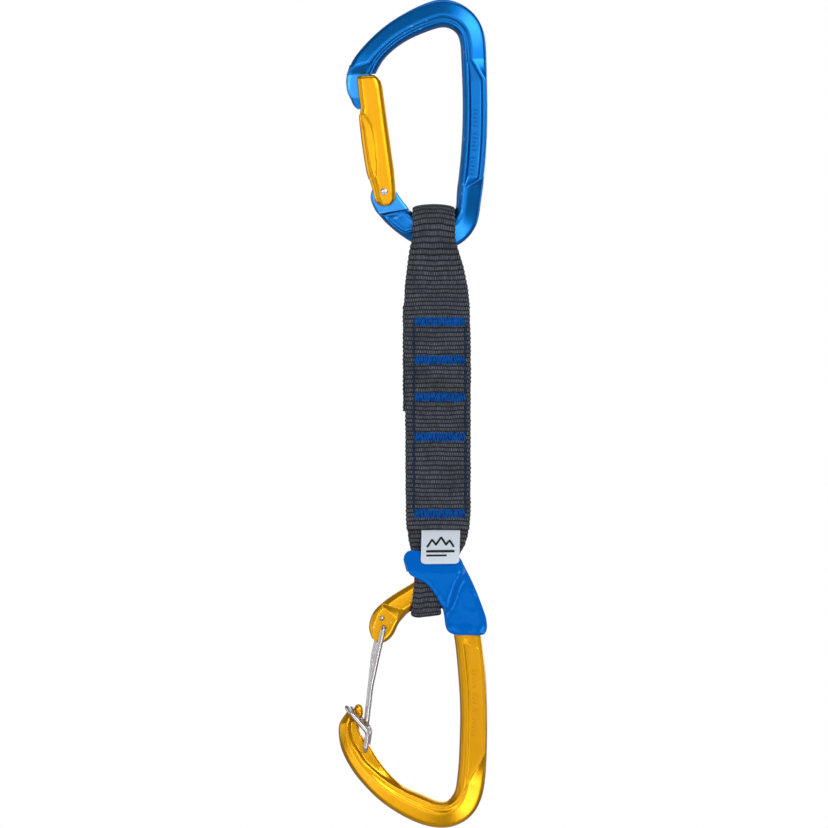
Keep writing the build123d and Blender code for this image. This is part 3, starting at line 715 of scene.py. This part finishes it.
SLOT_CLEAR = 0.15
SLOT_REACH = 9  # past the gate's sides and its foot
SLOT_PAST_TOP = 60
SLOT_ROOF = 5.9  # of the hinge slot
NECK_SLOT = (33.4, 1.6)  # for the tongue: foot, and how far across it goes
HEAD_SLOT = (31.8, 40, 0.4)  # for the head: foot, roof, and how far across it goes

RIVET_DOME = [(0.01, 5.02), (0.5, 4.98), (0.95, 4.9), (1.3, 4.78), (1.55, 4.6), (1.62, 4.4)]


def placed(solid):
    """From the gate's own frame (pivot at the origin, gate along +Z) to the object's."""
    points, faces, uv = solid
    x, y, z = points.T
    c, s = math.cos(GATE_TILT), math.sin(GATE_TILT)
    return np.stack([GATE_PIVOT[0] + x * c - z * s, y, GATE_PIVOT[1] + x * s + z * c], -1), faces, uv


def gate_bar():
    """Round bar, slimmer at the nose, with a scooped facet on the front and back of its outer side."""
    level = np.concatenate([np.linspace(GATE_FOOT, -2, 24), np.linspace(-1.8, 43, 130),
                            np.linspace(43.2, GATE_TOP, 24)])
    left, right, depth, facet, square = (
        read(table, level)[:, None] for table in (GATE_LEFT, GATE_RIGHT, GATE_FACE, GATE_FACET, LEFT_SQUARE))
    angle = np.linspace(0, math.tau, GATE_SIDES, endpoint=False)
    cos, sin = np.cos(angle), np.sin(angle)
    power = 2 / np.where(cos < 0, square, GATE_SQUARE)
    wide = (left + right) / 2 * np.sign(cos) * np.abs(cos) ** power + (right - left) / 2
    deep = depth * np.sign(sin) * np.abs(sin) ** power
    scoop = np.maximum(0, facet - wide)
    step, step_width = SCOOP_STEP
    limit = GATE_DEPTH - FLAT_INSET - SCOOP_SLOPE * scoop - step * np.clip(scoop / step_width, 0, 1)
    deep = np.sign(deep) * np.minimum(np.abs(deep), np.maximum(limit, GATE_THINNEST))
    slant = TOP_SLANT * np.interp(level, SLANT_LEVELS, [0, 1])[:, None] * wide
    return placed(ring_solid(np.stack([wide, deep, level[:, None] - slant], -1)))


def gate_slots():
    """The hinge slot, the slot for the nose's tongue and the wider one for its head."""
    tongue, head = TONGUE_HALF + SLOT_CLEAR, HEAD_HALF + SLOT_CLEAR
    neck_foot, neck_across = NECK_SLOT
    head_foot, head_roof, head_across = HEAD_SLOT
    return [block((-SLOT_REACH, -tongue, -SLOT_REACH), (SLOT_REACH, tongue, SLOT_ROOF)),
            block((-SLOT_REACH, -tongue, neck_foot), (neck_across, tongue, SLOT_PAST_TOP)),
            block((-SLOT_REACH, -head, head_foot), (head_across, head, head_roof))]


def gate():
    obj = mesh_object("upper_gate_bar", gate_bar(), GOLD)
    cut(obj, [mesh_object("slot", placed(slot), GOLD) for slot in gate_slots()])
    finish_piece(obj, "upper_gate_unit", "gold_anodised", "upper_gate")


def rivet():
    """Peened over in a shallow dome on both faces."""
    profile = [(r, -y) for r, y in RIVET_DOME] + RIVET_DOME[::-1]
    obj = mesh_object("gate_rivet_peened", turned(*GATE_PIVOT, profile), STEEL, ROUND_SHARP)
    finish_piece(obj, "upper_gate_unit", "steel", "gate_rivet")


# ==== wire gate and hood
FRONT_HOLE = (-23.8, -239.8)  # X and Z, as in the CAD's hinge eye
BACK_HOLE = (-24.6, -236.2)
FRONT_PIN, BACK_PIN = 3.1, -3.25  # where the wire's two ends stop inside the eye
LEG_Y = 4.6  # legs beside the eye
KNEE_Y, SHIN_Y, TOE_Y = 4.3, 3.4, 2.9  # and further down, drawn together
WIRE = 1.1  # radius
WIRE_BENDS = [1.7, 20, 30, 2.6]  # from a hole down to the toe
HOOD_WIRE = 1.05
HOOD_HALF = 5.4
HOOD_FOOT = 2.4  # where the hood's wire enters the frame
HOOD_SIDE = [
    (-31, HOOD_FOOT, -288.6), (-31, HOOD_HALF, -288.6), (-29.9, HOOD_HALF, -281.4),
    (-38.4, HOOD_HALF, -271.8)
]
HOOD_BENDS = [1.5, 2.5, 4.4]
HOOD_FRONT_SHIFT, HOOD_BACK_SHIFT = -0.3, 0.5  # of its two sides, along X and Z


def bent_wire(name, points, bends, radius):
    """A steel wire whose bends are the same from both ends."""
    return mesh_object(name, tube(bent(points, bends + bends[::-1]), radius, 24), STEEL, ROUND_SHARP)


def wire_gate():
    (front_x, front_z), (back_x, back_z) = FRONT_HOLE, BACK_HOLE
    points = [(front_x, FRONT_PIN, front_z), (front_x, -LEG_Y, front_z), (-26, -KNEE_Y, -249),
              (-29.1, -SHIN_Y, -263.4), (-30.9, -TOE_Y, -279), (-30.9, TOE_Y, -279),
              (-29.2, SHIN_Y, -263.4), (-27.9, KNEE_Y, -251), (back_x, LEG_Y, back_z),
              (back_x, BACK_PIN, back_z)]
    obj = bent_wire("wire_gate_bent", points, WIRE_BENDS, WIRE)
    finish_piece(obj, "wire_gate_unit", "steel", "wire_gate")


def nose_hood():
    front = [(x + HOOD_FRONT_SHIFT, -y, z + HOOD_FRONT_SHIFT) for x, y, z in HOOD_SIDE]
    back = [(x + HOOD_BACK_SHIFT, y, z + HOOD_BACK_SHIFT) for x, y, z in HOOD_SIDE]
    obj = bent_wire("nose_hood_wire", front + back[::-1], HOOD_BENDS, HOOD_WIRE)
    finish_piece(obj, "lower_carabiner", "steel", "nose_hood")


# ==== keeper
VOXEL = 0.34
MELT_DEPTH = 5.7  # the faces further out than this melt most
MELT_STEPS = 170
EDGE_STEPS = 12


def soften(obj, name, steps, group=""):
    """A modifier that rounds a mesh, or only a group of its vertices."""
    smooth = obj.modifiers.new(name, "SMOOTH")
    smooth.factor = 0.5
    smooth.iterations = steps
    smooth.vertex_group = group


def keeper():
    """The CAD moulding's shape, its edges melted round."""
    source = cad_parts["keeper"]
    obj = source.copy()
    obj.data = source.data.copy()
    obj.name = "keeper_moulding"
    for key in list(obj.keys()):
        del obj[key]
    bpy.context.scene.collection.objects.link(obj)
    obj.parent = None
    obj.matrix_world = source.matrix_world
    remesh = obj.modifiers.new("even", "REMESH")
    remesh.mode = "VOXEL"
    remesh.voxel_size = VOXEL * MM
    apply_modifiers(obj)
    points = np.empty(len(obj.data.vertices) * 3, np.float32)
    obj.data.vertices.foreach_get("co", points)
    outside = np.abs(points.reshape(-1, 3)[:, 1]) > MELT_DEPTH * MM
    group = obj.vertex_groups.new(name="faces")
    group.add(np.flatnonzero(outside).tolist(), 1.0, "REPLACE")
    soften(obj, "melt", MELT_STEPS, "faces")
    soften(obj, "edges", EDGE_STEPS)
    apply_modifiers(obj)
    obj.data.materials.clear()
    obj.data.materials.append(RUBBER)
    obj.data.shade_smooth()
    finish_piece(obj, "lower_carabiner", "keeper_rubber", "keeper")


# ==== sling
WEB = 2  # webbing thickness
SURFACE = 3  # from the middle layer to the sling's front or back
BAR_MIDDLE = -81.2  # z of the upper bar
LOOP_MIDDLE = 9.6  # radius of the webbing's middle over the upper bar
SEAM = -116.5
SPLIT = -133  # the two halves of the sling meet here, under a bar tack
FOLD = -201  # end of the front layer
TACKS = (-117.4, -133, -147.8, -163.8, -194.4)
TACK_HEIGHT = 3.6
TACK_SPAN = (-11.6, 8.5)
# z, and x of the webbing's edge there
LEFT_EDGE = [
    (-70, -12.3), (-84, -12.6), (-86.6, -13.2), (-93, -14.2), (-103, -15.4), (-112, -15.8),
    (-185, -15.6), (-201, -15.2), (-205, -14.8), (-209, -13.9), (-215, -13.6), (-221, -12.6),
    (-236, -13.9)
]
RIGHT_EDGE = [
    (-70, 4.4), (-84, 4.7), (-87.4, 5.6), (-91, 6.6), (-95, 7.8), (-99, 8.6), (-105, 9.8),
    (-112, 10.5), (-130, 10.9), (-195, 10.8), (-203, 10), (-207, 8.8), (-211, 6.6),
    (-216, 3.6), (-222, 1), (-228, -0.8), (-236, -0.8)
]
LOOP_INSET = (0.9, 0.3)  # of a layer's left and right edges from those two
FACE_INSET = (0.4, 0)
WIDE_INSET = (-0.5, 0.7)
WIDE_TOP, WIDE_FOOT = -111.2, -153.5  # the middle layer's wide part
LOOP_TILT = 0.115  # rise of the bottom loop along X
LOOP_CENTRE = 7.3  # to the left of X 0
FINE_RIB, OPEN_RIB, LOWER_RIB = 1.72, 2.3, 2
RIB_PITCH = [(-214, LOWER_RIB), (-206, FINE_RIB), (-112, FINE_RIB), (-88, OPEN_RIB)]
RIB_DEPTH = [(-214, 0.26), (-206, 0.18), (-112, 0.18), (-84, 0.46)]
RIB_BULGE = 0.14  # ribs stand out of the edge by this much, and the gaps go in by it
RIB_STEPS = 7  # mesh rows to a rib
MOST_RIBS = 400  # more than any strip has
CUT_ROUND = 0.9  # rounding of the webbing's cut ends
LINE_STEP = 0.2
SELVAGE = np.array([0, .008, .02, .035, .055])
ACROSS = np.concatenate([SELVAGE, np.linspace(.085, .915, 30), 1 - SELVAGE[::-1]])  # mesh columns


def rib_waves(y, z, step):
    """How many ribs come before each point of a strip, and how deep each rib is."""
    phase = np.cumsum(step / read(RIB_PITCH, z)) + 0.3
    uneven = np.interp(phase, range(MOST_RIBS), rng.uniform(0.4, 1.5, MOST_RIBS))
    arch = np.interp(z, [-100, -84], [0, 0.2]) * np.sign(-y) + 0.3 * np.sin(phase * 0.37)
    waves = phase[:, None] + arch[:, None] * np.sin(ACROSS * math.pi) + 0.04 * np.sin(ACROSS * 17)
    return waves, uneven


def half_thickness(z, rib, uneven, step, taper):
    """Half the webbing's thickness: thin between ribs, round at the edges and cut ends."""
    depth = read(RIB_DEPTH, z) * uneven
    selvage = np.clip(np.minimum(ACROSS, 1 - ACROSS) * 18, 0, 1)
    half = WEB / 2 * (1 - np.abs(2 * ACROSS - 1) ** 14) ** 0.5
    half = half - depth[:, None] * (1 - rib) * (0.35 + 0.65 * selvage)
    from_start = np.arange(len(z)) * step
    for is_cut, distance in zip(taper, (from_start, from_start[::-1])):
        if is_cut:
            half = half * np.sqrt(1 - np.clip(1 - distance / CUT_ROUND, 0, 1) ** 2).clip(0.25)[:, None]
    return half


def lift(x, z, askew):
    """How far the webbing is off its line: curled over the upper bar, askew in the lower loop."""
    curl = np.interp(z, [-98, -80], [0, 1.1])[:, None] * np.abs(2 * ACROSS - 1) ** 2.2
    if not askew:
        return -curl
    low = np.interp(z, [-222, -212], [1, 0])[:, None]
    left_corner = 1.1 * np.clip(1 - ACROSS / 0.3, 0, 1) ** 2
    return low * (LOOP_TILT * (x + LOOP_CENTRE) + left_corner) - curl


def strip(points, taper, inset=(0, 0), askew=False):
    """A closed band of ribbed webbing along a line of (y, z) points, and its length."""
    line = along(np.array(points, float), FINE_RIB / RIB_STEPS)
    y, z = line.T
    step = np.linalg.norm(np.diff(line, axis=0), axis=1).mean()
    waves, uneven = rib_waves(y, z, step)
    rib = np.abs(np.sin(math.pi * waves)) ** 0.8
    half = half_thickness(z, rib, uneven, step, taper)
    left = read(LEFT_EDGE, z) + inset[0] + RIB_BULGE - 2 * RIB_BULGE * rib[:, 0] * uneven
    right = read(RIGHT_EDGE, z) - inset[1] - RIB_BULGE + 2 * RIB_BULGE * rib[:, -1] * uneven[::-1]
    x = left[:, None] + (right - left)[:, None] * ACROSS
    tangent = directions(line)
    raised = lift(x, z, askew)
    faces = []
    for side in (1, -1):
        face_y = y[:, None] - side * half * tangent[:, 1:]
        face_z = z[:, None] + side * half * tangent[:, :1] + raised
        faces.append(np.stack([x, face_y, face_z], -1))
    return shell(*faces, np.stack([x, waves], -1)), len(line) * step


def upper_line():
    """Front layer from the split up, over the bar and down to the split again."""
    slope = math.atan2(LOOP_MIDDLE - WEB, BAR_MIDDLE - SEAM)
    angle = np.linspace(math.pi + slope, -slope, 60)
    angle = np.append(angle[:54:6], angle[-1])
    arc = np.column_stack([LOOP_MIDDLE * np.cos(angle), BAR_MIDDLE + LOOP_MIDDLE * np.sin(angle)])
    leg = [(-2, SPLIT), (-2, -126), (-2, -119.5), (-2.25, -116), (-3.1, -112)]
    return even(leg + arc.tolist() + [(-y, z) for y, z in leg[::-1]], LINE_STEP)


def lower_line():
    """From the split down the middle layer, round the lower bar and back up the rear layer."""
    down = [(0, SPLIT), (0, -160), (0, -190), (0, -203), (-0.8, -208), (-2.9, -212.6),
            (-5.3, -216.6), (-6.3, -221), (-6.3, -227.6), (-5.2, -232), (-2.6, -234.3)]
    up = [(2.6, -234.3), (5.2, -232), (6.3, -227.6), (6.3, -221), (5.4, -216.6), (4, -212.6),
          (2.6, -208), (2, -203), (2, -190), (2, -160), (2, SPLIT)]
    return even(down + up, LINE_STEP)


def sling():
    """The webbing in two pieces that meet under a bar tack."""
    top, top_length = strip(upper_line(), taper=(False, False))
    tail, tail_length = strip([(0, SPLIT), (0, WIDE_TOP)], taper=(False, True), inset=WIDE_INSET)
    obj = mesh_object("webbing_upper", joined([top, tail]), NYLON)
    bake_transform(obj)
    finish_piece(obj, None, "webbing", "sling_top_loop")

    loop, loop_length = strip(lower_line(), taper=(False, False), inset=LOOP_INSET, askew=True)
    front_layer = [(-2, SPLIT), (-2, -196), (-2.15, FOLD)]
    face, face_length = strip(front_layer, taper=(False, True), inset=FACE_INSET)
    wide, wide_length = strip([(0, WIDE_FOOT), (0, SPLIT)], taper=(True, False), inset=WIDE_INSET)
    obj = mesh_object("webbing_lower", joined([loop, face, wide]), NYLON)
    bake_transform(obj)
    finish_piece(obj, None, "webbing", "sling_webbing", "sling_bottom_loop")


# ==== stitching
TACK_THREAD = 0.27  # radii
LOCK_THREAD = 0.42
CLOSE_TACK, OPEN_TACK = 57, 41  # threads in the top bar tack and in the others
UNDERLAY = (-1.2, -0.4, 0.4, 1.2)
UNDERLAY_POINTS = 24
TACK_LEAN = 0.34  # of a thread's ends, to each side of its middle
TACK_RISE, LOCK_RISE = 0.42, 0.22  # of a stitch's middle over its ends
TACK_BED, LOCK_BED = 0.14, 0.17  # depth of a stitch's ends under the surface
LOCK_PITCH = 2.4
LOCK_SHARE = 0.96  # of the pitch that shows on the surface


def zigzag(level, side, count):
    """Bar tack: threads side by side, each dipping into the webbing at its ends."""
    low, high = TACK_SPAN
    line = []
    for i, x in enumerate(np.linspace(low + 0.2, high - 0.2, count)):
        top = level + TACK_HEIGHT / 2 + rng.uniform(-0.3, 0.2)
        foot = level - TACK_HEIGHT / 2 + rng.uniform(-0.2, 0.3)
        lean = TACK_LEAN * (1 if i % 2 else -1) + rng.uniform(-0.12, 0.12)
        ends = [(x - lean, foot), (x + lean, top)] if i % 2 else [(x + lean, top), (x - lean, foot)]
        (x0, z0), (x1, z1) = ends
        for f in np.linspace(0, 1, 7):
            rise = TACK_RISE * math.sin(math.pi * f) ** 0.6 + rng.uniform(-0.02, 0.02)
            line.append((x0 + (x1 - x0) * f, side * (SURFACE - TACK_BED + rise), z0 + (z1 - z0) * f))
    return tube(line, TACK_THREAD, 8)


def underlay(level, side):
    """Threads laid along a bar tack first, seen between the zigzag's."""
    solids = []
    for height in UNDERLAY:
        x = np.linspace(*TACK_SPAN, UNDERLAY_POINTS)
        y = np.full(UNDERLAY_POINTS, side * (SURFACE + 0.02))
        solids.append(tube(np.column_stack([x, y, level + height + 0.06 * np.sin(x * 3)]), TACK_THREAD, 8))
    return solids


def bar_tacks():
    for number, level in enumerate(TACKS, 1):
        count = CLOSE_TACK if number == 1 else OPEN_TACK
        solids = []
        for side in (FRONT, BACK):
            solids += [zigzag(level, side, count)] + underlay(level, side)
        obj = mesh_object(f"bar_tack_threads_{number}", joined(solids), BLUE_THREAD, THREAD_SHARP)
        finish_piece(obj, "sling", "tack_thread", f"bar_tack_{number}")


def lock_stitch(x, top, foot, side):
    """One stitch of a row, which dips into the webbing at both ends."""
    f = np.linspace(0, 1, 9)
    wobble = rng.uniform(-0.08, 0.08)
    bowed = x + wobble + 0.05 * np.sin(f * 3)
    raised = side * (SURFACE - LOCK_BED + LOCK_RISE * np.sin(math.pi * f) ** 0.5)
    return tube(np.column_stack([bowed, raised, top + (foot - top) * f]), LOCK_THREAD, 8)


def stitch_row(x, top, foot):
    """Lock stitches from one bar tack to the next, on the front and the back."""
    count = round((top - foot) / LOCK_PITCH)
    solids = []
    for step in range(count):
        start = top - (top - foot) * step / count
        end = top - (top - foot) * (step + LOCK_SHARE) / count
        solids += [lock_stitch(x, start, end, side) for side in (FRONT, BACK)]
    return solids


def edge_stitches():
    for name, x in (("left", TACK_SPAN[0] - 0.2), ("right", TACK_SPAN[1] + 0.2)):
        solids = []
        for upper, lower in zip(TACKS, TACKS[1:]):
            solids += stitch_row(x, upper - 1, lower + 1)
        obj = mesh_object(f"edge_stitch_threads_{name}", joined(solids), NAVY_THREAD, THREAD_SHARP)
        finish_piece(obj, "sling", "edge_thread", f"edge_stitch_{name}")


# ==== label
LABEL_WIDTH, LABEL_LENGTH = 15.4, 15.4
LABEL_THICKNESS = 0.38
LABEL_CORNER = 1.6  # radius of the two lower corners
LABEL_MIDDLE = -1.2
LABEL_TURN = math.radians(-1.5)
# distance down from the label's fold, and y and z there
LABEL_FALL = np.array([(0, -1.4, -199.6), (3, -2.6, -202.6), (6, -4.2, -205.4), (9, -5.9, -208.2),
                       (12, -7.1, -211), (15.6, -8.1, -214.6)])
PEAKS = [(-5.2, 8.4), (-3.4, 5.4), (-1.8, 7.6), (0.2, 4.4), (2.2, 7.6), (3.6, 5.8), (5.2, 8.4)]
PEAK_WIDTH = 0.48  # half the width of a line, as for the bars
BARS = [((-5.4, 10.4), (5.4, 10.4), 0.60), ((-5.4, 12.1), (2.4, 12.1), 0.44)]


def label_surface(u, v):
    """Points on the label's front: u across from its middle, v down from the fold."""
    at, knots = spline(LABEL_FALL[:, 1:])
    place = at(np.interp(v.ravel(), LABEL_FALL[:, 0], knots)).reshape(*v.shape, 2)
    curl = 0.25 * np.sin(u * 0.33 + 0.5) * np.clip(v / 8, 0, 1)
    x = LABEL_MIDDLE + u + (v - 7) * math.sin(LABEL_TURN)
    return np.stack([x, place[..., 0] - curl, place[..., 1] + u * math.sin(-LABEL_TURN) * 0.4], -1)


def label_mark():
    """A plain pattern in black thread: three peaks over two bars."""
    runs = [(start, end, PEAK_WIDTH) for start, end in zip(PEAKS, PEAKS[1:])] + BARS
    solids = []
    for start, end, half_width in runs:
        u, v = along(np.array([start, end]), 0.25).T
        bedded = label_surface(u, v) + [0, 0.02, 0]
        solids.append(tube(bedded, half_width / 2, 10, flat=2))
    return mesh_object("label_embroidery", joined(solids), BLACK_THREAD, THREAD_SHARP)


def label():
    """A satin tag, its lower corners rounded."""
    down = np.linspace(0, LABEL_LENGTH, 48)
    into_corner = np.clip(down - (LABEL_LENGTH - LABEL_CORNER), 0, LABEL_CORNER)
    narrow = LABEL_CORNER - np.sqrt(np.clip(LABEL_CORNER ** 2 - into_corner ** 2, 0, None))
    half = LABEL_WIDTH / 2 - narrow
    share = np.linspace(-1, 1, 40)
    u, v = np.broadcast_arrays(share[None, :] * half[:, None], down[:, None])
    face = label_surface(u, v)
    thick = LABEL_THICKNESS * np.sqrt(1 - np.abs(share) ** 10)[None, :, None] * np.array([0, 1, 0])
    tag = shell(face, face + thick, np.stack([u, v], -1))
    obj = mesh_object("label_tag", tag, SATIN, ROUND_SHARP)
    mark = label_mark()
    for piece in (obj, mark):
        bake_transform(piece)
    finish_piece(obj, None, "label", "woven_label")
    finish_piece(mark, None, "edge_thread")


def inside_the_gate():
    """The plunger and its spring are out of sight, so the CAD's own stay."""
    for node in ("gate_plunger", "gate_spring"):
        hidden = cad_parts[node]
        hidden.data.materials.clear()
        hidden.data.materials.append(STEEL)


# ==== stage, light and camera, in metres
FLOOR_SIZE = 30
FLOOR_LEVEL = -1.8
SKY = (0.66, 0.68, 0.72, 1)
SKY_STRENGTH = 0.36
CAMERA_REACH = 3
CAMERA_CLIP = 50
CAMERA_MIDDLE = (-0.0118, -0.1546)  # x, z
SENSOR = 36
SEEN_HEIGHT = 0.3312


def stage():
    """A pale floor, and a world that is white to the camera and dimmer as light."""
    bpy.ops.mesh.primitive_plane_add(size=FLOOR_SIZE, location=(0, 0, FLOOR_LEVEL))
    floor = bpy.context.object
    floor.name = "floor"
    floor.data.materials.append(pale_floor())
    world = Nodes(bpy.data.worlds.new("studio"), "World Output")
    bpy.context.scene.world = world.owner
    light = world.tree.nodes["Background"]
    light.inputs["Color"].default_value = SKY
    light.inputs["Strength"].default_value = SKY_STRENGTH
    seen = world.add("ShaderNodeBackground", {"Color": WHITE})
    camera_ray = world.add("ShaderNodeLightPath").outputs["Is Camera Ray"]
    mix = world.add("ShaderNodeMixShader", {0: camera_ray, 1: light.outputs[0], 2: seen.outputs[0]})
    world.link(mix.outputs[0], "Surface")


def softbox(name, place, aim, size, watts):
    data = bpy.data.lights.new(name, "AREA")
    data.shape = "RECTANGLE"
    data.size, data.size_y = size
    data.energy = watts
    obj = bpy.data.objects.new(name, data)
    bpy.context.scene.collection.objects.link(obj)
    obj.location = place
    direction = np.array(aim) - np.array(place)
    obj.rotation_mode = "QUATERNION"
    obj.rotation_quaternion = Vector(direction).to_track_quat("-Z", "Y")


def lights():
    top, bottom, middle = (0, 0, -0.02), (0, 0, -0.28), (0, 0, -0.155)
    softbox("upper_right", (0.55, -1.10, 0.36), top, (0.5, 0.52), 5.4)
    softbox("upper_left", (-0.47, -1.10, 0.13), top, (0.25, 0.3), 1.35)
    softbox("lower_right", (0.58, -1.02, -0.68), bottom, (0.40, 0.62), 4.1)
    softbox("lower_left", (-0.44, -1.08, -0.72), bottom, (0.85, 0.4), 2.9)
    softbox("front", (-0.15, -1.5, 0.09), middle, (0.9, 0.9), 3.0)
    softbox("left", (-1.1, -0.7, -0.15), middle, (0.5, 0.7), 1.4)
    for name, x in (("left_side", -1.2), ("right_side", 1.2)):
        softbox(name, (x, 0.25, -0.1), middle, (0.8, 0.8), 3)
    softbox("top", (0.0, -0.2, 1.0), middle, (0.8, 0.8), 3.0)
    softbox("back", (0.2, 1.1, 0.2), middle, (1.2, 1.0), 8)


def camera():
    data = bpy.data.cameras.new("camera")
    data.sensor_width = SENSOR
    data.lens = SENSOR * CAMERA_REACH / SEEN_HEIGHT
    data.clip_end = CAMERA_CLIP
    obj = bpy.data.objects.new("camera", data)
    bpy.context.scene.collection.objects.link(obj)
    obj.location = (CAMERA_MIDDLE[0], -CAMERA_REACH, CAMERA_MIDDLE[1])
    obj.rotation_euler = (math.radians(90), 0, 0)
    bpy.context.scene.camera = obj


# ==== everything
upper_frame()
lower_frame()
gate()
rivet()
wire_gate()
nose_hood()
keeper()
sling()
bar_tacks()
edge_stitches()
label()
inside_the_gate()
stage()
lights()
camera()
bpy.context.scene.view_settings.view_transform = "Standard"
